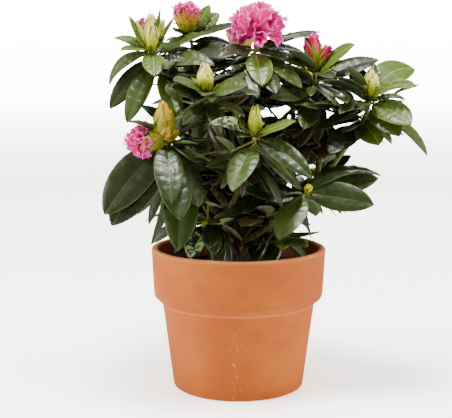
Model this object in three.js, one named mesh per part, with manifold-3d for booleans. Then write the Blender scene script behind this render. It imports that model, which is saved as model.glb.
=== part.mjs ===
// A potted rhododendron: a round terracotta pot filled with soil, a short trunk that forks into boughs, on
// each bough a mass of foliage of its own, and an open flower head on the highest of them.
// Millimetres, +Z up. The origin is the centre of the pot's flat underside, and -Y is the front.
import * as THREE from "three";
import { mergeVertices } from "three/addons/utils/BufferGeometryUtils.js";
import Module from "manifold-3d";

const wasm = await Module();
wasm.setup();

// ---------------------------------------------------------------- driving dimensions

const GAP = 0.3; // between pieces that touch
const POT = {
  height: 177,
  rimRadius: 110, // outside, at the lip
  collarHeight: 60, // the thick band under the lip
  collarFootRadius: 106.8,
  shoulderHeight: 9, // the slope from the collar in to the body
  bodyTopRadius: 96.5,
  footRadius: 82.5,
  wall: 8.5,
  floor: 11,
  lipRound: 3.4,
  sides: 36,
};
const SOIL = { belowLip: 28 };
const GROUND = POT.height - SOIL.belowLip + GAP; // the trunk's flat cut

const LIMB_SIDES = 6;
const STEM_SIDES = 4;
const TWIG_SIDES = 3;
const BUD_SIDES = 5;
const FLORET_SIDES = 6;
const STEM_TIP_RADIUS = 2.2;
const STEM_SWING = 0.45; // share of a stem's length that it keeps to its bough's direction
const TWIG_RADIUS = 1.7;

// The outline is [share of the length, share of the half width], from the root to short of the tip, and
// 0 is the petiole.
const LEAF = {
  outline: [[0, 0], [0.12, 0], [0.4, 0.92], [0.76, 0.84]],
  bladeStart: 1, // the station where the blade begins
  petiole: 1.3, // half its width
  keel: 1.7, // thickness at the midrib
  slender: 0.37, // width over length, where a row gives no width
  bend: 20,
};
const GOLDEN_ANGLE = 137.5;

// The trunk and the boughs. A bough leaves the trunk or another bough at a share of its length, swings by
// `via` and ends at `tip`, where the mass of foliage of the same name begins. Radii are at root and tip.
const TRUNK = {
  foot: [-12, -6, GROUND],
  via: [-12, -6, 195],
  tip: [-16, 0, 232],
  radii: [7.5, 5.6],
  flare: 3.6, // added to the radius at the foot
};
const BOUGHS = {
  left: { from: ["trunk", 0.7], via: [-40, -22, 232], tip: [-60, -36, 268], radii: [4.4, 3.2] },
  upper_left: { from: ["trunk", 0.97], via: [-62, 12, 280], tip: [-86, 8, 366], radii: [4.6, 3] },
  top_left: { from: ["upper_left", 0.35], via: [-46, 30, 320], tip: [-52, 26, 385], radii: [3.6, 2.9] },
  top: { from: ["trunk", 0.98], via: [14, 6, 285], tip: [17, 0, 362], radii: [4.4, 3] },
  front_upper: { from: ["top", 0.2], via: [-24, -44, 272], tip: [-30, -48, 328], radii: [3.6, 2.9] },
  front: { from: ["trunk", 0.86], via: [-4, -52, 242], tip: [9, -62, 277], radii: [3.9, 3] },
  right: { from: ["trunk", 0.3], via: [74, -20, 212], tip: [146, -14, 324], radii: [4.8, 3] },
  top_right: { from: ["right", 0.64], via: [108, 4, 292], tip: [99, 2, 338], radii: [3.7, 2.9] },
  lower_right: { from: ["right", 0.3], via: [40, -32, 222], tip: [58, -38, 232], radii: [3.4, 2.8] },
  pot_right: { from: ["trunk", 0.28], via: [6, 2, 180], tip: [22, 4, 192], radii: [3.4, 2.7] },
  pot_left: { from: ["trunk", 0.42], via: [-22, -18, 192], tip: [-27, -26, 208], radii: [3.4, 2.7] },
  back_left: { from: ["upper_left", 0.2], via: [-52, 70, 275], tip: [-60, 84, 335], radii: [3.8, 2.9] },
  back_top: { from: ["top", 0.35], via: [14, 58, 320], tip: [8, 66, 372], radii: [3.6, 2.9] },
  back_right: { from: ["right", 0.5], via: [72, 62, 262], tip: [72, 78, 330], radii: [3.7, 2.9] },
  low_back_left: { from: ["trunk", 0.6], via: [-36, 42, 218], tip: [-50, 66, 236], radii: [3.8, 2.8] },
  low_back_right: { from: ["right", 0.22], via: [34, 48, 220], tip: [46, 70, 236], radii: [3.6, 2.8] },
  low_back: { from: ["trunk", 0.5], via: [-14, 50, 214], tip: [-6, 78, 236], radii: [3.6, 2.8] },
  side_left: { from: ["low_back_left", 0.5], via: [-54, 40, 230], tip: [-70, 36, 248], radii: [3.2, 2.7] },
  side_right: { from: ["low_back_right", 0.5], via: [48, 38, 232], tip: [68, 34, 242], radii: [3.2, 2.7] },
  middle: { from: ["top", 0.42], via: [40, 8, 300], tip: [52, 14, 330], radii: [3.2, 2.7] },
  inner_left: { from: ["upper_left", 0.12], via: [-36, 20, 262], tip: [-44, 22, 272], radii: [3, 2.6] },
  inner_low: { from: ["trunk", 0.82], via: [14, -20, 226], tip: [24, -22, 232], radii: [3, 2.6] },
};

// The masses of foliage, each on the bough of the same name. `tip` is where its stem ends, under the buds.
// A leaf is [down the stem, bearing, pitch, length] and, where they differ from the usual, [..., width,
// roll, bend]. Bearing 0 faces the front and 90 the right; pitch is the chord's rise and bend its droop.
// A bud is [bearing, pitch, length, radius]. `fill` is how many more leaves the seeded rule tries and
// `twigs` how many side twigs, both wound round the stem from the bearing `turn`. `bare` numbers the
// seeded leaves that are left out, where the crown is open.
const MASSES = {
  upper_left: {
    tip: [-107, -10, 422], seed: 11, fill: 5, twigs: 1, turn: 150,
    bare: [1, 7, 8],
    buds: [[0, 86, 46, 10], [-70, 64, 42, 7], [85, 68, 42, 7], [10, 62, 38, 8], [180, 66, 42, 8]],
    leaves: [[4, -76, -33, 70, 22, -26, 79], [8, -63, -47, 87, 18, -55, 19],
      [12, -33, -54, 91, 18, -35, 18], [3, 6, -27, 62, 28, 0, 25], [10, 102, 20, 82, 27, 22, 37],
      [22, 64, 1, 80, 27, 40, 59], [26, 27, -48, 80, 30, 0, 10], [2, -85, 27, 50, 18, -30, 34],
      [1, -55, 6, 44, 18, -20, 33], [2, -68, 56, 51, 17, -41, -14], [1, 43, 72, 52, 18, 34, -19],
      [2, 67, 54, 50, 16, 49, -5], [3, 51, 46, 28, 12, -15, 25]],
  },
  top_left: {
    tip: [-62, 25, 444], seed: 23, fill: 6, twigs: 1, turn: 120,
    buds: [[-60, 66, 46, 8], [-20, 74, 48, 8], [60, 78, 46, 7], [160, 68, 46, 8], [-120, 58, 42, 8]],
    leaves: [[14, 38, -14, 70, 28, 30], [2, 115, 53, 47, 12, 50, -7], [4, 110, 36, 49, 20, 45, 13],
      [6, -38, 20, 36, 16, 0, 10]],
  },
  top: {
    tip: [20, -5, 427], seed: 31, fill: 4, twigs: 1, turn: 170,
    buds: [],
    leaves: [[6, 7, -35, 72, 32, 0, 25], [9, 64, -33, 76, 24, 30, 23], [6, -47, -8, 63, 26, -25, 47],
      [6, 108, 13, 86, 28, 14, 35], [6, 122, -2, 79, 25, 29, 40], [4, -131, -6, 62, 26, -20, 30],
      [18, 22, -30, 74, 30], [5, 74, -15, 50, 20, 30, 27]],
  },
  top_right: {
    tip: [95, 5, 398], seed: 47, fill: 5, twigs: 1, turn: 130,
    bare: [0, 3],
    buds: [[-60, 80, 44, 10], [75, 58, 34, 6], [200, 68, 38, 7]],
    leaves: [[6, 62, 36, 64, 26, 40, 25], [5, 51, 20, 46, 24, 35, 10], [4, 23, -6, 48, 24, 10, 30],
      [14, 98, 19, 86, 32, 35], [36, -19, -29, 66, 27, -20, 4], [18, -45, -9, 82, 23, -45, -4]],
  },
  right: {
    tip: [161, -20, 364], seed: 53, fill: 5, twigs: 1, turn: 200,
    buds: [[0, 88, 36, 10]],
    leaves: [[4, 121, 24, 82, 29, 35, 80], [3, 155, 44, 60, 28, 0, -5], [5, 45, 17, 73, 25, 32, 64],
      [6, 35, -18, 76, 36, 35, 25], [12, 31, -27, 68, 30, 25], [16, 75, -35, 95, 30, 15, 58],
      [5, -45, -11, 61, 13, -40, 34], [4, -72, 34, 50, 20, 0, 10], [8, -157, 51, 64, 28, -20, 10],
      [30, 23, -33, 48, 32, 30], [34, -50, -31, 64, 24, -45, 11], [12, -78, -25, 60, 20, -6, 36]],
  },
  front_upper: {
    tip: [-40, -70, 373], seed: 61, fill: 4, twigs: 0, turn: 150,
    buds: [[0, 88, 40, 9]],
    leaves: [[4, -50, 20, 52, 26, -35, 30], [10, -48, 13, 58, 27, -45], [5, 50, 11, 62, 28, 45, 30],
      [9, 56, 4, 74, 24, 17, 36], [14, -24, -19, 72, 17, -30, 0], [16, 43, -13, 63, 20, 6, 42]],
  },
  left: {
    tip: [-87, -75, 319], seed: 71, fill: 5, twigs: 1, turn: 200,
    buds: [[-20, 84, 46, 12], [20, 40, 22, 8], [-70, 18, 24, 8], [80, 30, 20, 7], [-84, -8, 50, 14]],
    leaves: [[6, -74, -48, 113, 46, -60, 18], [12, -73, -52, 116, 42, -62, 14], [8, 14, -50, 108, 42],
      [5, 7, -45, 94, 34, 0, 30], [8, 37, -48, 94, 36, 15, 15], [50, -3, -56, 112, 42, 0, 10],
      [26, -54, -66, 91, 29, 4, 4], [30, -59, -72, 112, 37, 5, -25]],
  },
  front: {
    tip: [17, -95, 325], seed: 83, fill: 4, twigs: 0, turn: 160,
    buds: [[20, 84, 34, 7]],
    leaves: [[5, 52, -28, 92, 25, 48, 29], [3, 56, 19, 58, 20, 40, 10], [6, -59, 16, 66, 15, -60, 62],
      [14, -22, -36, 84, 34], [24, -65, -16, 63, 18, -55, -6], [5, 161, -31, 46, 20],
      [20, 111, -40, 84, 30, 40, 10]],
  },
  lower_right: {
    tip: [81, -58, 253], seed: 97, fill: 4, twigs: 0, turn: 190,
    bare: [0],
    buds: [[60, 60, 12, 4]],
    leaves: [[4, -34, -38, 76, 36, -10, 15], [3, 65, -6, 86, 36, 65, 10], [6, 101, 11, 96, 25, 60, 15],
      [8, 95, 14, 106, 33, 16, 76], [8, 155, -33, 56, 24, 0, 10], [8, -63, 8, 80, 28, -55, 5],
      [6, 40, -74, 53, 13, -20, -40]],
  },
  pot_right: {
    tip: [48, 5, 196], seed: 101, fill: 6, twigs: 0, turn: 60,
    buds: [[60, 60, 10, 3]],
    leaves: [[2, 63, 3, 63, 20, 7, -40]],
  },
  pot_left: {
    tip: [-40, -45, 210], seed: 113, fill: 6, twigs: 0, turn: 100,
    buds: [[-40, 50, 10, 3]],
    leaves: [[4, -40, -48, 52, 30, 0, 25], [8, 10, -37, 56, 28, 0, 10]],
  },
  back_left: {
    tip: [-84, 110, 380], seed: 127, fill: 11, twigs: 2, turn: 20,
    bare: [10, 17],
    buds: [[180, 84, 38, 10]],
    leaves: [],
  },
  back_top: {
    tip: [4, 88, 415], seed: 131, fill: 11, twigs: 2, turn: 60,
    bare: [8],
    buds: [[0, 86, 44, 10], [120, 66, 40, 7], [240, 66, 40, 7], [0, 62, 38, 7]],
    leaves: [],
  },
  back_right: {
    tip: [92, 108, 372], seed: 149, fill: 14, twigs: 2, turn: 0,
    bare: [0, 3, 4, 5, 10, 21],
    buds: [[180, 84, 38, 10]],
    leaves: [],
  },
  low_back_left: {
    tip: [-80, 100, 258], seed: 151, fill: 14, twigs: 2, turn: 40,
    buds: [[200, 60, 14, 4]],
    leaves: [],
  },
  low_back_right: {
    tip: [74, 104, 258], seed: 163, fill: 18, twigs: 2, turn: 10,
    bare: [0, 1, 3, 8, 13, 14, 16, 17, 18, 19, 22],
    buds: [[160, 60, 14, 4]],
    leaves: [],
  },
  low_back: {
    tip: [-4, 112, 266], seed: 157, fill: 14, twigs: 1, turn: 20,
    bare: [2, 10],
    buds: [[180, 70, 14, 4]],
    leaves: [],
  },
  side_left: {
    tip: [-98, 34, 284], seed: 167, fill: 10, twigs: 0, turn: 250,
    buds: [[-90, 60, 14, 4]],
    leaves: [],
  },
  side_right: {
    tip: [94, 32, 264], seed: 179, fill: 0, twigs: 0, turn: 0,
    buds: [[90, 60, 14, 4]],
    leaves: [[4, 74, -36, 70], [6, 128, -40, 78], [9, 172, -32, 78],
      [8, 24, -8, 58], [17, 100, -26, 66],
      [3, 77, 29, 60, 25, 40, -12]],
  },
  middle: {
    tip: [70, 18, 350], seed: 173, fill: 30, twigs: 1, turn: 30,
    bare: [0, 1, 2, 5, 6, 10, 11, 13, 14, 16, 21, 22, 23, 26, 29, 33],
    buds: [[40, 80, 30, 7]],
    leaves: [],
  },
  inner_left: {
    tip: [-56, 24, 306], seed: 181, fill: 22, twigs: 1, turn: 200,
    bare: [5],
    buds: [[-60, 70, 12, 4]],
    leaves: [[3, -84, 37, 86, 32, -30, 21]],
  },
  inner_low: {
    tip: [42, -26, 244], seed: 191, fill: 26, twigs: 1, turn: 250,
    bare: [1, 2, 4, 14, 18, 19, 20, 22, 23],
    buds: [[60, 70, 12, 4]],
    leaves: [],
  },
};
const REACH = 125; // a seeded leaf keeps within this distance of its stem's tip
// Seeded leaves and side twigs: [least, most] pitches and lengths, and how a twig's leaves swing from it.
const SEEDED = {
  leafPitch: [-62, 2],
  leafLength: [62, 88],
  twigPitch: [15, 45],
  twigLength: [24, 36],
  twigLeafPitch: [-55, 15],
  twigLeafLength: [52, 74],
  swings: [-70, 60, 5, 150],
};
// The open flower head on the topmost stem: [how many, lean from upright, length] for each tier of florets.
// `tilt` turns the whole head to the right.
const TRUSS = { tiers: [[1, 4, 41], [5, 36, 40], [7, 76, 31]], mouth: 11, seat: 12, tilt: 7, seed: 7 };

// ---------------------------------------------------------------- small helpers

const radians = THREE.MathUtils.degToRad;
const { lerp } = THREE.MathUtils;
const vector = (xyz) => new THREE.Vector3(...xyz);

// The minimal standard generator, which gives the same draws from the same seed anywhere.
function draws(seed) {
  let state = seed * 7919;
  return (low, high) => {
    state = (state * 16807) % 2147483647;
    return low + ((high - low) * state) / 2147483647;
  };
}

function heading(bearing, pitch) {
  const level = Math.cos(radians(pitch));
  return new THREE.Vector3(
    Math.sin(radians(bearing)) * level,
    -Math.cos(radians(bearing)) * level,
    Math.sin(radians(pitch)),
  );
}

function solidOf(geometry) {
  const bare = new THREE.BufferGeometry();
  bare.setAttribute("position", geometry.getAttribute("position"));
  bare.setIndex(geometry.getIndex());
  const merged = mergeVertices(bare, 1e-4);
  return new wasm.Manifold(
    new wasm.Mesh({
      numProp: 3,
      vertProperties: new Float32Array(merged.attributes.position.array),
      triVerts: new Uint32Array(merged.index.array),
    }),
  );
}

function geometryOf(solid) {
  const mesh = solid.getMesh();
  const geometry = new THREE.BufferGeometry();
  geometry.setAttribute("position", new THREE.BufferAttribute(mesh.vertProperties, 3));
  geometry.setIndex(new THREE.BufferAttribute(mesh.triVerts, 1));
  geometry.computeVertexNormals();
  return geometry;
}

const largestOf = (solid) => solid.decompose().sort((a, b) => b.volume() - a.volume())[0];

// A skin over rings of equally many points. The first ring is closed flat, and so is the last unless it
// has drawn together into a single point.
function skin(rings) {
  const sides = rings[0].length;
  const last = rings.length - 1;
  const pointed = rings[last].length === 1;
  const faces = [];
  for (let r = 0; r < last; r++) {
    for (let k = 0; k < sides; k++) {
      const [a, b] = [r * sides + k, r * sides + ((k + 1) % sides)];
      if (pointed && r === last - 1) faces.push(a, b, last * sides);
      else faces.push(a, b, b + sides, a, b + sides, a + sides);
    }
  }
  for (let k = 1; k + 1 < sides; k++) {
    faces.push(0, k + 1, k);
    if (!pointed) faces.push(last * sides, last * sides + k, last * sides + k + 1);
  }
  const geometry = new THREE.BufferGeometry().setFromPoints(rings.flat());
  geometry.setIndex(faces);
  return geometry;
}

// A body of revolution from a profile of [radius, height] that starts and ends on its axis.
function turnedBody(profile, sides, base, axis) {
  const lathe = new THREE.LatheGeometry(profile.map(([r, h]) => new THREE.Vector2(r, h)), sides);
  const place = new THREE.Quaternion().setFromUnitVectors(new THREE.Vector3(0, 1, 0), axis);
  return lathe.applyQuaternion(place).translate(base.x, base.y, base.z);
}

// ---------------------------------------------------------------- limbs

// A tapering limb along its curve. `extra` fattens it all over, for the cut that keeps the next one clear.
function limbGeometry({ curve, radiusAt, sides, steps }, extra = 0) {
  const rings = [];
  const across = new THREE.Vector3(1, 0, 0);
  for (let i = 0; i <= steps; i++) {
    const along = curve.getTangent(i / steps);
    across.addScaledVector(along, -across.dot(along)).normalize();
    const other = along.clone().cross(across);
    const centre = curve.getPoint(i / steps);
    const radius = radiusAt(i / steps) + extra;
    rings.push(
      Array.from({ length: sides }, (_, k) =>
        centre
          .clone()
          .addScaledVector(across, radius * Math.cos((2 * Math.PI * k) / sides))
          .addScaledVector(other, radius * Math.sin((2 * Math.PI * k) / sides)),
      ),
    );
  }
  return skin(rings);
}

function makeTrunk() {
  const curve = new THREE.QuadraticBezierCurve3(vector(TRUNK.foot), vector(TRUNK.via), vector(TRUNK.tip));
  const radiusAt = (t) => lerp(...TRUNK.radii, t) + TRUNK.flare * Math.exp(-t * 9);
  return { curve, radiusAt, steps: 9, sides: 9 };
}

function makeBough({ from: [parent, share], via, tip, radii }, limbs) {
  const root = limbs[parent].curve.getPoint(share);
  const curve = new THREE.QuadraticBezierCurve3(root, vector(via), vector(tip));
  return { curve, radiusAt: (t) => lerp(...radii, t), steps: 5, sides: LIMB_SIDES };
}

// The stem goes on from its bough's tip, in the bough's direction, and ends under the bud.
function makeStem(bough, tip) {
  const away = bough.curve.getTangent(1);
  const root = bough.curve.getPoint(1).addScaledVector(away, GAP);
  const end = vector(tip);
  const via = root.clone().addScaledVector(away, root.distanceTo(end) * STEM_SWING);
  const curve = new THREE.QuadraticBezierCurve3(root, via, end);
  const radiusAt = (t) => lerp(bough.radiusAt(1), STEM_TIP_RADIUS, t);
  return { curve, radiusAt, steps: 4, sides: STEM_SIDES, length: curve.getLength() };
}

function makeTwig(root, end) {
  const curve = new THREE.LineCurve3(root, end);
  return { curve, radiusAt: () => TWIG_RADIUS, steps: 1, sides: TWIG_SIDES, length: root.distanceTo(end) };
}

// ---------------------------------------------------------------- leaves, buds and florets

function pointDown(stem, down) {
  return stem.curve.getPoint(Math.max(0, 1 - down / stem.length));
}

function leafFrom(stem, row) {
  const [down, bearing, pitch, length, width = length * LEAF.slender, roll = 0, bend = LEAF.bend] = row;
  return { base: pointDown(stem, down), bearing, pitch, length, width, roll, bend };
}

// A leaf: a petiole sunk in its stem, then a blade that droops along its length, with a keel under its
// midrib. `first` is the station it starts from and `extra` fattens it all over.
function leafGeometry({ base, bearing, pitch, length, width, roll, bend }, first = 0, extra = 0) {
  const side = heading(bearing + 90, 0);
  const centre = base.clone();
  const rings = [];
  let previous = 0;
  for (const [share, spread] of LEAF.outline) {
    const middle = (share + previous) / 2;
    centre.addScaledVector(heading(bearing, pitch + bend * (0.5 - middle)), length * (share - previous));
    previous = share;
    const along = heading(bearing, pitch + bend * (0.5 - share));
    const across = side.clone().applyAxisAngle(along, radians(roll));
    const up = along.clone().cross(across);
    const half = (spread > 0 ? (width / 2) * spread : LEAF.petiole) + extra;
    const at = (x, z) => centre.clone().addScaledVector(across, x).addScaledVector(up, z);
    rings.push([at(half, extra), at(-half, extra), at(0, -LEAF.keel - 2 * extra)]);
  }
  rings.push([centre.addScaledVector(heading(bearing, pitch - bend / 2), length * (1 - previous) + extra)]);
  return skin(rings.slice(first));
}

// A closed bud: a plump spindle.
function budGeometry(base, [bearing, pitch, length, radius]) {
  const profile = [[0, -2], [radius * 0.7, 0], [radius, length * 0.4], [0, length]];
  return turnedBody(profile, BUD_SIDES, base, heading(bearing, pitch));
}

// An open floret: a thin foot that widens into a dished mouth.
function floretGeometry(base, axis, length, mouth) {
  const profile = [[0, -2], [1.5, 0], [mouth * 0.72, length * 0.72], [mouth, length], [0, length * 0.82]];
  return turnedBody(profile, FLORET_SIDES, base, axis);
}

// ---------------------------------------------------------------- pot and soil

function innerRadius(z) {
  const share = (z - POT.floor) / (POT.height - POT.floor);
  return lerp(POT.footRadius, POT.rimRadius, share) - POT.wall;
}

function potGeometry() {
  const collarFoot = POT.height - POT.collarHeight;
  const shoulderFoot = collarFoot - POT.shoulderHeight;
  const lip = POT.lipRound;
  const profile = [
    [0, 0],
    [POT.footRadius - 2, 0],
    [POT.footRadius, 2],
    [POT.bodyTopRadius, shoulderFoot],
    [POT.collarFootRadius - 2, collarFoot - 1],
    [POT.collarFootRadius, collarFoot + 2],
    [POT.rimRadius, POT.height - lip],
    [POT.rimRadius - lip * 0.3, POT.height - lip * 0.3],
    [POT.rimRadius - lip, POT.height],
    [POT.rimRadius - POT.wall + lip * 0.6, POT.height],
    [innerRadius(POT.height - lip), POT.height - lip],
    [innerRadius(POT.floor), POT.floor],
    [0, POT.floor],
  ];
  const lathe = new THREE.LatheGeometry(profile.map(([r, z]) => new THREE.Vector2(r, z)), POT.sides);
  return lathe.rotateX(Math.PI / 2);
}

function soilGeometry() {
  const [bottom, top] = [POT.floor + GAP, POT.height - SOIL.belowLip];
  const inset = GAP + innerRadius(top) * (1 - Math.cos(Math.PI / POT.sides)); // clear of the pot's flats
  const rounds = [bottom, top].map((z) => [innerRadius(z) - inset, z]);
  const profile = [[0, bottom], ...rounds, [0, top]];
  const lathe = new THREE.LatheGeometry(profile.map(([r, z]) => new THREE.Vector2(r, z)), POT.sides);
  return lathe.rotateX(Math.PI / 2);
}

// ---------------------------------------------------------------- the seeded rule

// More leaves round the stem, then side twigs with leaves of their own. Each entry is a leaf or a twig
// with its leaves.
function seededGrowth({ seed, fill, twigs, turn, bare = [] }, stem) {
  const draw = draws(seed);
  const growth = [];
  for (let k = 0; k < fill; k++) {
    const down = draw(4, stem.length * 0.6);
    const bearing = turn + GOLDEN_ANGLE * k + draw(-20, 20);
    const leaf = leafFrom(stem, [down, bearing, draw(...SEEDED.leafPitch), draw(...SEEDED.leafLength)]);
    growth.push({ leaves: [leaf] });
  }
  for (let k = 0; k < twigs; k++) {
    const root = pointDown(stem, stem.length * draw(0.35, 0.7));
    const bearing = turn + GOLDEN_ANGLE * (k + 0.5) + draw(-20, 20);
    const away = heading(bearing, draw(...SEEDED.twigPitch));
    const twig = makeTwig(root, root.clone().addScaledVector(away, draw(...SEEDED.twigLength)));
    const leaves = SEEDED.swings.map((swing, j) => {
      const turned = bearing + swing + draw(-15, 15);
      const pitch = draw(...SEEDED.twigLeafPitch);
      return leafFrom(twig, [1 + 3 * j, turned, pitch, draw(...SEEDED.twigLeafLength)]);
    });
    growth.push({ twig, leaves });
  }
  let number = 0;
  for (const grown of growth) grown.leaves = grown.leaves.filter(() => !bare.includes(number++));
  return growth;
}

function inReach(own, { base, bearing, pitch, length }) {
  return base.clone().addScaledVector(heading(bearing, pitch), length).distanceTo(vector(own.tip)) < REACH;
}

// ---------------------------------------------------------------- growing the plant

const taken = [solidOf(potGeometry()), solidOf(soilGeometry())]; // what a leaf or a bough keeps clear of

const limbs = { trunk: makeTrunk() };
for (const [name, spec] of Object.entries(BOUGHS)) limbs[name] = makeBough(spec, limbs);
const nodeOf = (limb) => (limb === "trunk" ? limb : `bough_${limb}`);

// Each limb is cut clear of the ones before it, and only its main length stays.
const limbSolids = {};
for (const name of Object.keys(limbs)) {
  const whole = solidOf(limbGeometry(limbs[name]));
  const before = Object.keys(limbSolids).map((other) => solidOf(limbGeometry(limbs[other], GAP)));
  limbSolids[name] = largestOf(before.reduce((rest, sleeve) => rest.subtract(sleeve), whole));
  taken.push(limbSolids[name]);
}

const masses = Object.entries(MASSES).map(([name, mass]) => {
  const stem = makeStem(limbs[name], mass.tip);
  let solid = solidOf(limbGeometry(stem));
  for (const bud of mass.buds) solid = solid.add(solidOf(budGeometry(stem.curve.getPoint(1), bud)));
  return { ...mass, name, stem, solid };
});

// The flower head: florets in tiers round a short peduncle.
function trussSolid({ tiers, mouth, seat, tilt, seed }, stem) {
  const draw = draws(seed);
  const axis = stem.curve.getTangent(1).applyAxisAngle(new THREE.Vector3(0, 1, 0), radians(tilt));
  const base = stem.curve.getPoint(1).addScaledVector(axis, GAP);
  const centre = base.clone().addScaledVector(axis, seat);
  let solid = solidOf(turnedBody([[0, 0], [3, 0], [3.4, seat], [0, seat + 3]], 6, base, axis));
  for (const [count, lean, length] of tiers) {
    for (let k = 0; k < count; k++) {
      const out = heading((360 * (k + 0.5)) / count + lean + draw(-8, 8), 90 - lean + draw(-6, 6));
      solid = solid.add(solidOf(floretGeometry(centre, out, length, mouth)));
    }
  }
  return solid;
}
const truss = trussSolid(TRUSS, masses.find(({ name }) => name === "top").stem);
taken.push(truss);

// A leaf or twig is taken only where a copy of it, fatter by the gap, is clear of all but its own mass.
const isClear = (probe, own) =>
  taken.every((solid) => probe.intersect(solid).isEmpty()) &&
  masses.every((mass) => mass === own || probe.intersect(mass.solid).isEmpty());

function takeLeaf(own, leaf) {
  if (!isClear(solidOf(leafGeometry(leaf, 0, GAP)), own)) return false;
  own.solid = own.solid.add(solidOf(leafGeometry(leaf)));
  return true;
}

// A seeded leaf also keeps its blade clear of the leaves already there.
function takeSeededLeaf(own, leaf) {
  const blade = solidOf(leafGeometry(leaf, LEAF.bladeStart, GAP));
  if (inReach(own, leaf) && blade.intersect(own.solid).isEmpty()) takeLeaf(own, leaf);
}

for (const own of masses) {
  for (const row of own.leaves) takeLeaf(own, leafFrom(own.stem, row));
}
for (const own of masses) {
  for (const { twig, leaves } of seededGrowth(own, own.stem)) {
    if (twig) {
      if (!isClear(solidOf(limbGeometry(twig, GAP)), own)) continue;
      own.solid = own.solid.add(solidOf(limbGeometry(twig)));
    }
    for (const leaf of leaves) takeSeededLeaf(own, leaf);
  }
}

// ---------------------------------------------------------------- the group

const group = new THREE.Group();
function put(name, geometry, color, roughness) {
  const mesh = new THREE.Mesh(geometry, new THREE.MeshStandardMaterial({ color, roughness, metalness: 0 }));
  mesh.name = name;
  group.add(mesh);
}
put("pot", potGeometry(), 0xc9794a, 0.85);
put("soil", soilGeometry(), 0x2a1c14, 1);
for (const [name, solid] of Object.entries(limbSolids)) put(nodeOf(name), geometryOf(solid), 0x6b5340, 0.8);
for (const { name, solid } of masses) put(`foliage_${name}`, geometryOf(solid), 0x3d5530, 0.45);
put("blossom_top", geometryOf(truss), 0xe8468f, 0.55);

export default group;
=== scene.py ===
import math

import bpy
import numpy as np
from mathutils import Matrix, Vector
from mathutils.bvhtree import BVHTree
from mathutils.kdtree import KDTree


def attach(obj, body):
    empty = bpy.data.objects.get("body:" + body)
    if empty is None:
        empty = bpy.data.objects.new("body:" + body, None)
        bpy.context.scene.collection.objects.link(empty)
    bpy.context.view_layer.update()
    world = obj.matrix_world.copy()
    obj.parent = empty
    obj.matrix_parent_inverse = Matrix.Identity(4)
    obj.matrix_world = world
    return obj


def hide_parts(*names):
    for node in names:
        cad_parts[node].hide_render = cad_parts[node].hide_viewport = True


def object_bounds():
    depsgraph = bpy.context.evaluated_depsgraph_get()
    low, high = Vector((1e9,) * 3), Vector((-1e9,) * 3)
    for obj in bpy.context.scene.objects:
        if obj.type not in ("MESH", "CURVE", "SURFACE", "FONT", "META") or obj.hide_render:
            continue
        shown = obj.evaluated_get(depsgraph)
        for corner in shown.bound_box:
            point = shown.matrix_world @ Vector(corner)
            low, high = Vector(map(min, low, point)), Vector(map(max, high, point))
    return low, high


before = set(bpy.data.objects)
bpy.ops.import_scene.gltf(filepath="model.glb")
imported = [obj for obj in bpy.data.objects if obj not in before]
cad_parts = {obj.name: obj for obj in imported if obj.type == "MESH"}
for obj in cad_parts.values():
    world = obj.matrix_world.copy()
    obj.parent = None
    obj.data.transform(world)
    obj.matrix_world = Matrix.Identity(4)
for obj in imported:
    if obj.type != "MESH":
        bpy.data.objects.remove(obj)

cad_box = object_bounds()

# A potted rhododendron: terracotta pot, soil, bark-covered trunk and boughs, then stems, leaves, buds and
# flowers that grow on from the boughs by the seeded rule of the solids, carried to finer growth.
# All sizes in the tables are millimetres; meshes are built in metres.
MM = 0.001
GAP = 0.3

# ---------------------------------------------------------------- sizes

POT_HEIGHT = 177
POT_WALL = 8.5
POT_FLOOR = 11
POT_RIM = 110
POT_FOOT = 82.5
COLLAR_FOOT = (106.8, 117)
SHOULDER_FOOT = (96.5, 108)
SOIL_TOP = 149
GROUND = 149.3

STEM_TIP_RADIUS = 2.2
STEM_SWING = 0.45
TWIG_RADIUS = 1.7
LEAF_SLENDER = 0.37
LEAF_BEND = 20
GOLDEN_ANGLE = 137.5

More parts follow.
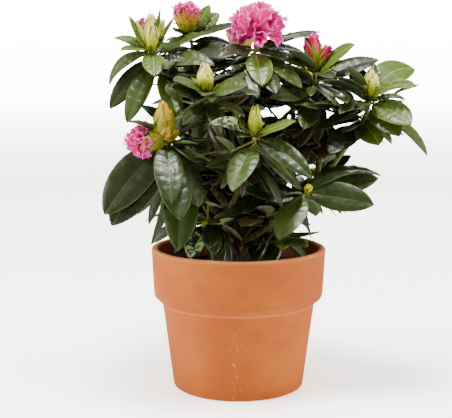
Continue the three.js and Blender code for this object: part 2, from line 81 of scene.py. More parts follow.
# The trunk, and the boughs. A bough's row says which limb it leaves and at what share of its length, the
# point it swings by, its tip, where the foliage of the same name begins, and its radii at root and tip.
TRUNK = {
  "foot": [-12, -6, GROUND],
  "via": [-12, -6, 195],
  "tip": [-16, 0, 232],
  "radii": [7.5, 5.6],
  "flare": 3.6,  # added to the radius at the foot
}
BOUGHS = {
  "left": (("trunk", 0.7), (-40, -22, 232), (-60, -36, 268), (4.4, 3.2)),
  "upper_left": (("trunk", 0.97), (-62, 12, 280), (-86, 8, 366), (4.6, 3)),
  "top_left": (("upper_left", 0.35), (-46, 30, 320), (-52, 26, 385), (3.6, 2.9)),
  "top": (("trunk", 0.98), (14, 6, 285), (17, 0, 362), (4.4, 3)),
  "front_upper": (("top", 0.2), (-24, -44, 272), (-30, -48, 328), (3.6, 2.9)),
  "front": (("trunk", 0.86), (-4, -52, 242), (9, -62, 277), (3.9, 3)),
  "right": (("trunk", 0.3), (74, -20, 212), (146, -14, 324), (4.8, 3)),
  "top_right": (("right", 0.64), (108, 4, 292), (99, 2, 338), (3.7, 2.9)),
  "lower_right": (("right", 0.3), (40, -32, 222), (58, -38, 232), (3.4, 2.8)),
  "pot_right": (("trunk", 0.28), (6, 2, 180), (22, 4, 192), (3.4, 2.7)),
  "pot_left": (("trunk", 0.42), (-22, -18, 192), (-27, -26, 208), (3.4, 2.7)),
  "back_left": (("upper_left", 0.2), (-52, 70, 275), (-60, 84, 335), (3.8, 2.9)),
  "back_top": (("top", 0.35), (14, 58, 320), (8, 66, 372), (3.6, 2.9)),
  "back_right": (("right", 0.5), (72, 62, 262), (72, 78, 330), (3.7, 2.9)),
  "low_back_left": (("trunk", 0.6), (-36, 42, 218), (-50, 66, 236), (3.8, 2.8)),
  "low_back_right": (("right", 0.22), (34, 48, 220), (46, 70, 236), (3.6, 2.8)),
  "low_back": (("trunk", 0.5), (-14, 50, 214), (-6, 78, 236), (3.6, 2.8)),
  "side_left": (("low_back_left", 0.5), (-54, 40, 230), (-70, 36, 248), (3.2, 2.7)),
  "side_right": (("low_back_right", 0.5), (48, 38, 232), (68, 34, 242), (3.2, 2.7)),
  "middle": (("top", 0.42), (40, 8, 300), (52, 14, 330), (3.2, 2.7)),
  "inner_left": (("upper_left", 0.12), (-36, 20, 262), (-44, 22, 272), (3, 2.6)),
  "inner_low": (("trunk", 0.82), (14, -20, 226), (24, -22, 232), (3, 2.6)),
}

# The masses of foliage. "tip" is where the stem ends, under the buds. A leaf is [down the stem, bearing,
# pitch, length] and, where they differ from the usual, [..., width, roll, bend]. Bearing 0 faces the front
# and 90 the right. A bud is [bearing, pitch, length, radius]. "fill" and "twigs" are how many more leaves
# and side twigs the seeded rule tries, wound round the stem from the bearing "turn".
MASSES = {
  "upper_left": {
    "tip": [-107, -10, 422], "seed": 11, "fill": 5, "twigs": 1, "turn": 150,
    "bare": [1, 7, 8],
    "buds": [[0, 86, 46, 10], [-70, 64, 42, 7], [85, 68, 42, 7], [10, 62, 38, 8], [180, 66, 42, 8]],
    "leaves": [[4, -76, -33, 70, 22, -26, 79], [8, -63, -47, 87, 18, -55, 19],
      [12, -33, -54, 91, 18, -35, 18], [3, 6, -27, 62, 28, 0, 25], [10, 102, 20, 82, 27, 22, 37],
      [22, 64, 1, 80, 27, 40, 59], [26, 27, -48, 80, 30, 0, 10], [2, -85, 27, 50, 18, -30, 34],
      [1, -55, 6, 44, 18, -20, 33], [2, -68, 56, 51, 17, -41, -14], [1, 43, 72, 52, 18, 34, -19],
      [2, 67, 54, 50, 16, 49, -5], [3, 51, 46, 28, 12, -15, 25]],
  },
  "top_left": {
    "tip": [-62, 25, 444], "seed": 23, "fill": 6, "twigs": 1, "turn": 120,
    "buds": [[-60, 66, 46, 8], [-20, 74, 48, 8], [60, 78, 46, 7], [160, 68, 46, 8], [-120, 58, 42, 8]],
    "leaves": [[14, 38, -14, 70, 28, 30], [2, 115, 53, 47, 12, 50, -7], [4, 110, 36, 49, 20, 45, 13],
      [6, -38, 20, 36, 16, 0, 10]],
  },
  "top": {
    "tip": [20, -5, 427], "seed": 31, "fill": 4, "twigs": 1, "turn": 170,
    "buds": [],
    "leaves": [[6, 7, -35, 72, 32, 0, 25], [9, 64, -33, 76, 24, 30, 23], [6, -47, -8, 63, 26, -25, 47],
      [6, 108, 13, 86, 28, 14, 35], [6, 122, -2, 79, 25, 29, 40], [4, -131, -6, 62, 26, -20, 30],
      [18, 22, -30, 74, 30], [5, 74, -15, 50, 20, 30, 27]],
  },
  "top_right": {
    "tip": [95, 5, 398], "seed": 47, "fill": 5, "twigs": 1, "turn": 130,
    "bare": [0, 3],
    "buds": [[-60, 80, 44, 10], [75, 58, 34, 6], [200, 68, 38, 7]],
    "leaves": [[6, 62, 36, 64, 26, 40, 25], [5, 51, 20, 46, 24, 35, 10], [4, 23, -6, 48, 24, 10, 30],
      [14, 98, 19, 86, 32, 35], [36, -19, -29, 66, 27, -20, 4], [18, -45, -9, 82, 23, -45, -4]],
  },
  "right": {
    "tip": [161, -20, 364], "seed": 53, "fill": 5, "twigs": 1, "turn": 200,
    "buds": [[0, 88, 36, 10]],
    "leaves": [[4, 121, 24, 82, 29, 35, 80], [3, 155, 44, 60, 28, 0, -5], [5, 45, 17, 73, 25, 32, 64],
      [6, 35, -18, 76, 36, 35, 25], [12, 31, -27, 68, 30, 25], [16, 75, -35, 95, 30, 15, 58],
      [5, -45, -11, 61, 13, -40, 34], [4, -72, 34, 50, 20, 0, 10], [8, -157, 51, 64, 28, -20, 10],
      [30, 23, -33, 48, 32, 30], [34, -50, -31, 64, 24, -45, 11], [12, -78, -25, 60, 20, -6, 36]],
  },
  "front_upper": {
    "tip": [-40, -70, 373], "seed": 61, "fill": 4, "twigs": 0, "turn": 150,
    "buds": [[0, 88, 40, 9]],
    "leaves": [[4, -50, 20, 52, 26, -35, 30], [10, -48, 13, 58, 27, -45], [5, 50, 11, 62, 28, 45, 30],
      [9, 56, 4, 74, 24, 17, 36], [14, -24, -19, 72, 17, -30, 0], [16, 43, -13, 63, 20, 6, 42]],
  },
  "left": {
    "tip": [-87, -75, 319], "seed": 71, "fill": 5, "twigs": 1, "turn": 200,
    "buds": [[-20, 84, 46, 12], [20, 40, 22, 8], [-70, 18, 24, 8], [80, 30, 20, 7], [-84, -8, 50, 14]],
    "leaves": [[6, -74, -48, 113, 46, -60, 18], [12, -73, -52, 116, 42, -62, 14], [8, 14, -50, 108, 42],
      [5, 7, -45, 94, 34, 0, 30], [8, 37, -48, 94, 36, 15, 15], [50, -3, -56, 112, 42, 0, 10],
      [26, -54, -66, 91, 29, 4, 4], [30, -59, -72, 112, 37, 5, -25]],
  },
  "front": {
    "tip": [17, -95, 325], "seed": 83, "fill": 4, "twigs": 0, "turn": 160,
    "buds": [[20, 84, 34, 7]],
    "leaves": [[5, 52, -28, 92, 25, 48, 29], [3, 56, 19, 58, 20, 40, 10], [6, -59, 16, 66, 15, -60, 62],
      [14, -22, -36, 84, 34], [24, -65, -16, 63, 18, -55, -6], [5, 161, -31, 46, 20],
      [20, 111, -40, 84, 30, 40, 10]],
  },
  "lower_right": {
    "tip": [81, -58, 253], "seed": 97, "fill": 4, "twigs": 0, "turn": 190,
    "bare": [0],
    "buds": [[60, 60, 12, 4]],
    "leaves": [[4, -34, -38, 76, 36, -10, 15], [3, 65, -6, 86, 36, 65, 10], [6, 101, 11, 96, 25, 60, 15],
      [8, 95, 14, 106, 33, 16, 76], [8, 155, -33, 56, 24, 0, 10], [8, -63, 8, 80, 28, -55, 5],
      [6, 40, -74, 53, 13, -20, -40]],
  },
  "pot_right": {
    "tip": [48, 5, 196], "seed": 101, "fill": 6, "twigs": 0, "turn": 60,
    "buds": [[60, 60, 10, 3]],
    "leaves": [[2, 63, 3, 63, 20, 7, -40]],
  },
  "pot_left": {
    "tip": [-40, -45, 210], "seed": 113, "fill": 6, "twigs": 0, "turn": 100,
    "buds": [[-40, 50, 10, 3]],
    "leaves": [[4, -40, -48, 52, 30, 0, 25], [8, 10, -37, 56, 28, 0, 10]],
  },
  "back_left": {
    "tip": [-84, 110, 380], "seed": 127, "fill": 11, "twigs": 2, "turn": 20,
    "bare": [10, 17],
    "buds": [[180, 84, 38, 10]],
    "leaves": [],
  },
  "back_top": {
    "tip": [4, 88, 415], "seed": 131, "fill": 11, "twigs": 2, "turn": 60,
    "bare": [8],
    "buds": [[0, 86, 44, 10], [120, 66, 40, 7], [240, 66, 40, 7], [0, 62, 38, 7]],
    "leaves": [],
  },
  "back_right": {
    "tip": [92, 108, 372], "seed": 149, "fill": 14, "twigs": 2, "turn": 0,
    "bare": [0, 3, 4, 5, 10, 21],
    "buds": [[180, 84, 38, 10]],
    "leaves": [],
  },
  "low_back_left": {
    "tip": [-80, 100, 258], "seed": 151, "fill": 14, "twigs": 2, "turn": 40,
    "buds": [[200, 60, 14, 4]],
    "leaves": [],
  },
  "low_back_right": {
    "tip": [74, 104, 258], "seed": 163, "fill": 18, "twigs": 2, "turn": 10,
    "bare": [0, 1, 3, 8, 13, 14, 16, 17, 18, 19, 22],
    "buds": [[160, 60, 14, 4]],
    "leaves": [],
  },
  "low_back": {
    "tip": [-4, 112, 266], "seed": 157, "fill": 14, "twigs": 1, "turn": 20,
    "bare": [2, 10],
    "buds": [[180, 70, 14, 4]],
    "leaves": [],
  },
  "side_left": {
    "tip": [-98, 34, 284], "seed": 167, "fill": 10, "twigs": 0, "turn": 250,
    "buds": [[-90, 60, 14, 4]],
    "leaves": [],
  },
  "side_right": {
    "tip": [94, 32, 264], "seed": 179, "fill": 0, "twigs": 0, "turn": 0,
    "buds": [[90, 60, 14, 4]],
    "leaves": [[4, 74, -36, 70], [6, 128, -40, 78], [9, 172, -32, 78],
      [8, 24, -8, 58], [17, 100, -26, 66],
      [3, 77, 29, 60, 25, 40, -12]],
  },
  "middle": {
    "tip": [70, 18, 350], "seed": 173, "fill": 30, "twigs": 1, "turn": 30,
    "bare": [0, 1, 2, 5, 6, 10, 11, 13, 14, 16, 21, 22, 23, 26, 29, 33],
    "buds": [[40, 80, 30, 7]],
    "leaves": [],
  },
  "inner_left": {
    "tip": [-56, 24, 306], "seed": 181, "fill": 22, "twigs": 1, "turn": 200,
    "bare": [5],
    "buds": [[-60, 70, 12, 4]],
    "leaves": [[3, -84, 37, 86, 32, -30, 21]],
  },
  "inner_low": {
    "tip": [42, -26, 244], "seed": 191, "fill": 26, "twigs": 1, "turn": 250,
    "bare": [1, 2, 4, 14, 18, 19, 20, 22, 23],
    "buds": [[60, 70, 12, 4]],
    "leaves": [],
  },
}

# The ranges that the seeded rule draws from, and how far round its twig each of a twig's leaves stands.
SEEDED = {
  "leafPitch": [-62, 2],
  "leafLength": [62, 88],
  "twigPitch": [15, 45],
  "twigLength": [24, 36],
  "twigLeafPitch": [-55, 15],
  "twigLeafLength": [52, 74],
  "swings": [-70, 60, 5, 150],
}

# The open truss. A tier is how many florets, how far they lean off its axis, and their length.
TRUSS = {"tiers": [[1, 4, 41], [5, 36, 40], [7, 76, 31]], "mouth": 11, "seat": 12, "tilt": 7, "seed": 7}

# Leaves between those of the solids, in the same form. They grow before the finer growth.
LATER = {
  "top": [[5, 82, -20, 69, 28, 20, 41], [3, 101, 14, 88, 20, 17, 29], [14, -78, -12, 62, 26, -20, 15],
    [16, 79, -35, 64, 26, 20, 10], [24, -75, -15, 53, 22, -20, -22]],
  "top_left": [[4, 77, 14, 62, 24, 30, 5], [10, 73, -6, 56, 23, 25, 35], [18, -64, -12, 35, 18, -20, 29],
    [12, -66, 4, 36, 15, -20, 55]],
  "top_right": [[8, -48, 32, 64, 22, 4, 59], [18, -66, 29, 52, 21, 13, 39]],
  "left": [[8, -64, 28, 58, 24, 13, 51], [16, 76, -20, 62, 27, -20, 15], [10, 98, 2, 54, 22, -20, 20]],
  "right": [[8, -64, 36, 60, 24, 14, 48], [4, -65, 53, 56, 19, 12, 27], [4, 160, 62, 52, 24, -14, 10],
    [14, -76, -18, 62, 26, -20, 26], [20, -79, -16, 63, 26, -10, -3], [6, -76, 23, 72, 29, 13, 50],
    [10, 72, 11, 50, 20, 20, 80]],
  "upper_left": [[8, 72, -6, 42, 17, 30, 9]],
}

# Leaves told apart by their place in a mass's list: young ones are bright, crinkled ones pucker by so much.
YOUNG = {"right": (0, 9), "top_left": (1, 2, 3), "top_right": (0, 1)}
CRINKLED = {"front": (2,), "pot_left": (0,)}
CRINKLE = 1.1

# Leaves of the front whose tone is fixed, by their place in a mass's list. The rest draw theirs. The fixed
# tones are partly the leaves' own and partly painted light and shade: darker on the big leaves of "left",
# lighter on those of "right" and "top".
TONES = {
    "left": {0: "dark", 1: "dark", 2: "deep", 3: "deep", 4: "dark", 5: "deep"},
    "right": {2: "fresh", 3: "fresh", 4: "mid", 5: "mid"},
    "top": {0: "fresh", 1: "mid"},
    "upper_left": {0: "mid", 1: "deep", 2: "mid", 3: "fresh", 4: "mid", 5: "mid", 6: "fresh", 7: "fresh",
                   8: "fresh", 9: "young", 10: "young", 11: "young"},
    "lower_right": {0: "mid", 1: "deep", 2: "deep", 3: "dark"},
    "front": {0: "deep", 1: "fresh", 2: "deep", 3: "mid", 4: "deep", 5: "dark", 6: "dark"},
    "front_upper": {0: "mid", 1: "deep", 2: "mid", 3: "deep", 4: "dark", 5: "mid"},
}

# Leaves that have filled out more than their solids: what is changed once the solid's leaf is found.
FULLER = {
    "right": {0: {"pitch": 29, "width": 44, "length": 88}, 5: {"width": 37}, 4: {"width": 33},
              6: {"width": 24, "roll": -16}, 10: {"width": 33, "roll": -28}, 11: {"width": 26}},
    "upper_left": {0: {"width": 25, "pitch": -35, "length": 72}, 1: {"width": 26},
                   2: {"width": 26, "bearing": -36, "length": 94}, 4: {"pitch": 23},
                   7: {"pitch": 20, "width": 22},
                   8: {"pitch": 1, "width": 22}, 9: {"width": 23}, 10: {"width": 22}},
    "top_left": {1: {"width": 20}, 2: {"width": 25}},
    "top_right": {0: {"width": 33}, 3: {"width": 36}, 5: {"width": 27}},
    "lower_right": {2: {"width": 32}, 3: {"width": 37}},
    "left": {0: {"width": 49, "length": 114}, 1: {"width": 49, "pitch": -53, "length": 118}},
}

# Flower buds that have begun to open, by their place in a mass's list: how far, from 0 to 1.
OPENING = {
    "upper_left": {1: 0.35},
    "top_left": {0: 0.6, 1: 0.7, 2: 0.6, 3: 0.6, 4: 0.45},
    "left": {4: 1.0},
    "top_right": {0: 0.55, 1: 0.5},
    "back_top": {0: 0.6, 1: 0.5, 2: 0.6, 3: 0.4},
}

# Buds that are not yet as long as their solids: the share of that length, by stem and then by single bud.
SHORTER_STEMS = {"top_left": 0.84, "front_upper": 0.86}
SHORTER_BUDS = {("top_left", 1): 0.94, ("top_left", 2): 0.84}

# ---------------------------------------------------------------- the growth rule


def draws(seed):
    """The minimal standard generator: the same draws from the same seed as in the solids."""
    state = [seed * 7919]

    def draw(low, high):
        state[0] = state[0] * 16807 % 2147483647
        return low + (high - low) * state[0] / 2147483647

    return draw


def heading(bearing, pitch):
    b, p = math.radians(bearing), math.radians(pitch)
    return np.array([math.sin(b) * math.cos(p), -math.cos(b) * math.cos(p), math.sin(p)])


def turned(vector, axis, angle):
    """The vector turned about a unit axis, by degrees."""
    a = math.radians(angle)
    across = np.cross(axis, vector)
    return vector * math.cos(a) + across * math.sin(a) + axis * np.dot(axis, vector) * (1 - math.cos(a))


def unit(vector):
    return vector / np.linalg.norm(vector)


class Limb:
    """A tapering limb that swings from its root by `via` to its end."""

    def __init__(self, root, via, end, radius_at):
        self.root, self.via, self.end = (np.array(p, float) for p in (root, via, end))
        self.radius_at = radius_at
        walk = np.array([self.point(i / 200) for i in range(201)])
        self.length = float(np.linalg.norm(np.diff(walk, axis=0), axis=1).sum())

    def point(self, t):
        return (1 - t) ** 2 * self.root + 2 * (1 - t) * t * self.via + t * t * self.end

    def tangent(self, t):
        return unit((1 - t) * (self.via - self.root) + t * (self.end - self.via))

    def point_down(self, down):
        return self.point(max(0, 1 - down / self.length))


def lerp(ends, t):
    return ends[0] + (ends[1] - ends[0]) * t


def make_limbs():
    def trunk_radius(t):
        return lerp(TRUNK["radii"], t) + TRUNK["flare"] * math.exp(-9 * t)

    limbs = {"trunk": Limb(TRUNK["foot"], TRUNK["via"], TRUNK["tip"], trunk_radius)}
    for name, ((parent, share), via, tip, radii) in BOUGHS.items():
        root = limbs[parent].point(share)
        limbs[name] = Limb(root, via, tip, lambda t, ends=radii: lerp(ends, t))
    return limbs


def make_stem(bough, tip):
    away = bough.tangent(1)
    root = bough.point(1) + away * GAP
    via = root + away * np.linalg.norm(np.array(tip) - root) * STEM_SWING
    radii = (bough.radius_at(1), STEM_TIP_RADIUS)
    return Limb(root, via, tip, lambda t: lerp(radii, t))


def make_twig(root, end, radius=TWIG_RADIUS):
    return Limb(root, (root + end) / 2, end, lambda t: radius)


def leaf_from(stem, row, **more):
    row = list(row) + [None] * (7 - len(row))
    down, bearing, pitch, length, width, roll, bend = row
    leaf = {"base": stem.point_down(down), "bearing": bearing, "pitch": pitch, "length": length,
            "width": length * LEAF_SLENDER if width is None else width, "roll": roll or 0,
            "bend": LEAF_BEND if bend is None else bend}
    leaf.update(more)
    return leaf


def seeded_growth(mass, stem):
    """More leaves round the stem, then side twigs with leaves of their own, as in the solids."""
    draw = draws(mass["seed"])
    growth = []
    for k in range(mass["fill"]):
        down = draw(4, stem.length * 0.6)
        bearing = mass["turn"] + GOLDEN_ANGLE * k + draw(-20, 20)
        pitch = draw(*SEEDED["leafPitch"])
        growth.append((None, [leaf_from(stem, [down, bearing, pitch, draw(*SEEDED["leafLength"])])]))
    for k in range(mass["twigs"]):
        root = stem.point_down(stem.length * draw(0.35, 0.7))
        bearing = mass["turn"] + GOLDEN_ANGLE * (k + 0.5) + draw(-20, 20)
        away = heading(bearing, draw(*SEEDED["twigPitch"]))
        twig = make_twig(root, root + away * draw(*SEEDED["twigLength"]))
        leaves = []
        for j, swing in enumerate(SEEDED["swings"]):
            bearing_out = bearing + swing + draw(-15, 15)
            pitch = draw(*SEEDED["twigLeafPitch"])
            length = draw(*SEEDED["twigLeafLength"])
            leaves.append(leaf_from(twig, [1 + 3 * j, bearing_out, pitch, length]))
        growth.append((twig, leaves))
    bare, number = mass.get("bare", ()), 0
    for _, leaves in growth:
        last = number + len(leaves)
        leaves[:] = [leaf for k, leaf in enumerate(leaves, number) if k not in bare]
        number = last
    return growth


def leaf_spine(leaf, shares, twist=0.0):
    """Centres, across and up directions of a leaf at shares of its length."""
    side = heading(leaf["bearing"] + 90, 0)
    centre = np.array(leaf["base"], float)
    spine, previous = [], 0.0
    for share in shares:
        middle = (share + previous) / 2
        step = heading(leaf["bearing"], leaf["pitch"] + leaf["bend"] * (0.5 - middle))
        centre = centre + step * leaf["length"] * (share - previous)
        previous = share
        along = heading(leaf["bearing"], leaf["pitch"] + leaf["bend"] * (0.5 - share))
        across = turned(side, along, leaf["roll"] + twist * (share - 0.5))
        spine.append((centre.copy(), across, np.cross(along, across)))
    return spine


# ---------------------------------------------------------------- joined meshes from arrays


class Joined:
    """Points, faces and finishes of many small shapes that become one mesh."""

    def __init__(self):
        self.points, self.faces, self.finishes, self.count = [], [], [], 0

    def add(self, points, faces, finishes):
        points = np.asarray(points, float)
        self.points.append(points)
        self.faces += [tuple(i + self.count for i in face) for face in faces]
        self.finishes += [finishes] * len(faces) if isinstance(finishes, int) else list(finishes)
        self.count += len(points)

    def build(self, name, materials, smooth=True):
        mesh = bpy.data.meshes.new(name)
        mesh.from_pydata((np.vstack(self.points) * MM).tolist(), [], self.faces)
        for material in materials:
            mesh.materials.append(material)
        mesh.polygons.foreach_set("material_index", self.finishes)
        mesh.polygons.foreach_set("use_smooth", [smooth] * len(mesh.polygons))
        mesh.validate()
        mesh.update()
        piece = bpy.data.objects.new(name, mesh)
        bpy.context.scene.collection.objects.link(piece)
        return piece


def ring_faces(rings, around, end_cap=True):
    """Faces over `rings` rings of `around` points each, with the ends closed."""
    faces = []
    for r in range(rings - 1):
        for k in range(around):
            a, b = r * around + k, r * around + (k + 1) % around
            faces.append((a, b, b + around, a + around))
    faces.append(tuple(reversed(range(around))))
    if end_cap:
        faces.append(tuple((rings - 1) * around + k for k in range(around)))
    return faces


def tube(centres, radii, around):
    """Rings round a line of centres, kept from twisting."""
    centres = [np.array(c, float) for c in centres]
    across = np.array([1.0, 0, 0])
    if abs(np.dot(unit(centres[-1] - centres[0]), across)) > 0.9:
        across = np.array([0, 1.0, 0])
    points = []
    for i, centre in enumerate(centres):
        along = unit(centres[min(i + 1, len(centres) - 1)] - centres[max(i - 1, 0)])
        across = unit(across - along * np.dot(across, along))
        other = np.cross(along, across)
        for k in range(around):
            a = 2 * math.pi * k / around
            points.append(centre + (across * math.cos(a) + other * math.sin(a)) * radii[i])
    return points, ring_faces(len(centres), around)


# ---------------------------------------------------------------- leaves

# A blade's outline: share of the leaf's length, then share of the half width.
OUTLINE = [(0.09, 0.06), (0.14, 0.24), (0.21, 0.46), (0.3, 0.7), (0.39, 0.87), (0.48, 0.97), (0.57, 1.0),
           (0.66, 0.97), (0.75, 0.87), (0.83, 0.71), (0.9, 0.5), (0.955, 0.28), (1.0, 0.03)]

# Where a blade's rings stand, by share of its length: close on leaves that show from near, wide on others.
FINE = [0.09 + 0.91 * i / 23 for i in range(24)]
COARSE = (0.09, 0.2, 0.34, 0.52, 0.7, 0.87, 1.0)

# A ring's points on top and underneath, by share of the half width, and the finish of the strips between.
TOP, RIB, RIM, UNDERSIDE, STALK = range(5)
FINE_ACROSS = (-1.0, -0.955, -0.68, -0.38, -0.07, 0.07, 0.38, 0.68, 0.955, 1.0)
FINE_UNDER = (0.6, 0.0, -0.6)
FINE_STRIPS = (RIM, TOP, TOP, TOP, RIB, TOP, TOP, TOP, RIM) + (UNDERSIDE,) * 4
COARSE_ACROSS = (-1.0, -0.55, -0.07, 0.07, 0.55, 1.0)
COARSE_UNDER = (0.0,)
COARSE_STRIPS = (TOP, TOP, RIB, TOP, TOP) + (UNDERSIDE,) * 2

# Points nearer to the middle than the first are the midrib's, those farther out than the second the rim's.
RIB_EDGE = 0.1
RIM_EDGE = 0.9
RIB_HALF = 0.42
RIB_SINK = 0.3

# The side veins: how far each of three rings in turn rises, and how strongly each point of a ring follows.
# The blade puckers with them by millimetres, and they run forward by a share of the leaf's length.
VEIN_WAVE = (-0.1, 1.0, -0.8)
PUCKER = {0.38: 0.9, 0.55: 1.0, 0.68: 1.0, 0.955: 0.15}
FINE_PUCKER = 0.95
COARSE_PUCKER = 0.4
VEIN_SWEEP = 0.16


def blade_width(share):
    return float(np.interp(share, [s for s, _ in OUTLINE], [w for _, w in OUTLINE]))


def add_leaf(joined, leaf, tones, draw):
    """One leaf: a leathery blade with a sunk midrib and raised side veins, a paler underside, and a stalk.
    `tones` are the finishes of its top, rib, rim, underside and stalk."""
    fine = leaf.get("fine", False)
    shares = FINE if fine else COARSE
    columns, under, strips = ((FINE_ACROSS, FINE_UNDER, FINE_STRIPS) if fine else
                              (COARSE_ACROSS, COARSE_UNDER, COARSE_STRIPS))
    half_width = leaf["width"] / 2
    crinkle = leaf.get("crinkle", 0.0)
    twist, phase, lopsided = draw(-14, 14), draw(0, 6.28), draw(-0.07, 0.07)
    ripple = draw(0.3, 1.1) + crinkle * 1.2
    arch = draw(0.3, 0.5)
    pucker = (FINE_PUCKER if fine else COARSE_PUCKER) * min(1.0, half_width / 12) + crinkle
    points = []
    for i, (share, (centre, across, up)) in enumerate(zip(shares, leaf_spine(leaf, shares, twist))):
        spread = blade_width(share)
        half = half_width * spread
        along = np.cross(up, across)
        vein = pucker * VEIN_WAVE[i % len(VEIN_WAVE)] * min(1.0, 3 * spread * (1 - share) + 0.1)

        def arched(x):
            return half * (arch * abs(x) - (arch - 0.03) * x * x)

        def at(x, lift):
            if abs(x) > RIB_EDGE:
                wide = half * x * (1 + lopsided * np.sign(x))
            else:
                wide = min(RIB_HALF, half) * np.sign(x)
            swept = along * (leaf["length"] * VEIN_SWEEP * max(0.0, abs(x) - 0.07) * spread * (1 - share))
            return centre + across * wide + up * lift + swept

        for x in columns:
            lift = arched(x)
            if abs(x) > RIM_EDGE:
                lift += ripple * math.sin(phase + 9 * share + 1.5 * np.sign(x)) * spread
            lift += vein * PUCKER.get(abs(x), 0.0)
            if crinkle and RIB_EDGE < abs(x) < RIM_EDGE:
                lift += draw(-crinkle, crinkle)
            if abs(x) < RIB_EDGE:
                lift -= RIB_SINK
            points.append(at(x, lift))
        for x in under:
            points.append(at(x, arched(x) - 0.4 - pucker) if x else centre - up * (1.3 - 0.8 * share))
    rings, around = len(shares), len(columns) + len(under)
    faces = [tuple(reversed(face)) for face in ring_faces(rings, around)]
    finishes = [tones[strips[k]] for _ in range(rings - 1) for k in range(around)]
    if crinkle:
        pale = leaf["pale"]
        finishes = [pale if f == tones[TOP] and draw(0, 1) < 0.5 else f for f in finishes]
    joined.add(points, faces, finishes + [tones[STALK]] * 2)
    stalk = leaf_spine(leaf, (0.0, 0.06, 0.14, 0.3))
    thick = min(1.0, half_width / 9)
    root = stalk[0][0] - unit(stalk[1][0] - stalk[0][0]) * 1.5
    centres = [root] + [c - up * sink for (c, _, up), sink in zip(stalk[1:], (0.2, 0.7, 0.9))]
    points, faces = tube(centres, [r * thick for r in (1.7, 1.15, 0.95, 0.3)], 5 if fine else 4)
    joined.add(points, faces, tones[STALK])


def leaf_sketch(leaf):
    """A coarse copy of a leaf, for keeping the next one clear of it."""
    shares = (0.12, 0.35, 0.6, 0.85, 1.0)
    spread = (0.2, 0.85, 1.0, 0.7, 0.05)
    points = []
    for s, (centre, across, up) in zip(spread, leaf_spine(leaf, shares)):
        half = leaf["width"] / 2 * s
        points += [centre - across * half, centre, centre + across * half]
    faces = []
    for r in range(len(shares) - 1):
        for k in range(2):
            a = 3 * r + k
            faces += [(a, a + 1, a + 4), (a, a + 4, a + 3)]
    return [Vector(p) for p in points], faces


# ---------------------------------------------------------------- buds

# How thick a closed bud and a loose one are: shares of the length, and shares of the radius there.
PLUMP = ((0, 0.15, 0.4, 0.7, 0.9, 1.0), (0.62, 0.88, 1.0, 0.7, 0.34, 0.04))
LOOSE = ((0, 0.15, 0.4, 0.7, 0.9, 1.0), (0.5, 0.7, 0.9, 1.0, 0.85, 0.5))

# The colours of each cluster's buds at foot, middle and tip.
BROWN, OLIVE, GREEN, AMBER, CREAM, PALE, BLUSH, HOT = range(8)
TINTS = {
    "upper_left": (GREEN, CREAM, PALE),
    "top_left": (OLIVE, AMBER, BLUSH),
    "top_right": (OLIVE, OLIVE, HOT),
    "right": (GREEN, CREAM, PALE),
    "front_upper": (GREEN, CREAM, PALE),
    "left": (OLIVE, OLIVE, AMBER),
    "front": (OLIVE, GREEN, CREAM),
    "back_top": (OLIVE, AMBER, BLUSH),
}


def bud_frame(base, bearing, pitch):
    along = heading(bearing, pitch)
    across = heading(bearing + 90, 0)
    return np.array(base, float), along, across, np.cross(along, across)


def add_bud(joined, base, bearing, pitch, length, radius, opening, tints, draw):
    """A flower bud: a spindle wrapped in overlapping pointed scales. An opening one is loose at its top."""
    base, along, across, up = bud_frame(base, bearing, pitch)
    foot_tint, middle_tint, tip_tint = tints

    def girth(h):
        closed, loose = float(np.interp(h, *PLUMP)), float(np.interp(h, *LOOSE))
        return radius * (closed + (loose - closed) * min(1.0, opening))

    core = [0.0, 0.2, 0.45, 0.7, 0.88, 0.97]
    centres = [base + along * (h * length - 1) for h in core]
    points, faces = tube(centres, [girth(h) * 0.84 for h in core], 8)
    joined.add(points, faces, [foot_tint] * 16 + [middle_tint] * 8 + [tip_tint] * 16 + [BROWN, tip_tint])
    tiers = 7 if length > 25 else 3
    slack = 0.04 + 0.32 * opening
    turn = draw(0, 360)
    for tier in range(tiers):
        foot = 0.68 * tier / tiers
        around = 6 if tier < tiers - 2 else 5
        for k in range(around):
            turn += 360 / around + draw(-12, 12)
            rise = 0.36 + draw(-0.04, 0.08)
            lift = radius * slack * draw(0.3, 1.5) * (0.5 + tier / tiers)
            ridge, lean = draw(0.7, 1.3), draw(-7, 7)
            section = ((-1, -0.1), (-0.78, 0.35), (0, ridge), (0.78, 0.35), (1, -0.1), (0, -0.4))
            points = []
            for q, wide in ((0, 0.75), (0.3, 1.0), (0.6, 0.84), (0.84, 0.46), (1.0, 0.04)):
                h = foot + rise * q
                out = girth(min(h, 1.0)) + 0.4 + lift * q * q
                for side, extra in section:
                    a = math.radians(turn + lean * q + side * 29 * wide)
                    ring = across * math.cos(a) + up * math.sin(a)
                    points.append(base + along * h * length + ring * (out + extra))
            level = tier / (tiers - 1) + draw(-0.18, 0.18)
            colour = foot_tint if level < 0.3 else middle_tint if level < 0.78 else tip_tint
            end = BROWN if draw(0, 1) < 0.1 else middle_tint if level < 0.35 else tip_tint
            pick = draw(0, 1)
            edge = BROWN if pick < 0.22 else OLIVE if pick < 0.6 else foot_tint
            strip = [edge, colour, colour, edge, BROWN, BROWN]
            strip_end = [edge, end, end, edge, BROWN, BROWN]
            faces = [tuple(reversed(face)) for face in ring_faces(5, 6)]
            joined.add(points, faces, strip * 3 + strip_end + [colour, end])


def bud_sketch(base, bearing, pitch, length, radius):
    """A coarse copy of a bud or flower, for keeping leaves clear of it."""
    along = heading(bearing, pitch)
    centres = [np.array(base, float) + along * length * q for q in (0.3, 0.6, 1.0)]
    points, faces = tube(centres, [radius, radius, radius * 0.4], 6)
    return [Vector(p) for p in points], faces


# ---------------------------------------------------------------- florets

DEEP, PINK, LIGHT, FILAMENT, ANTHER = range(5)
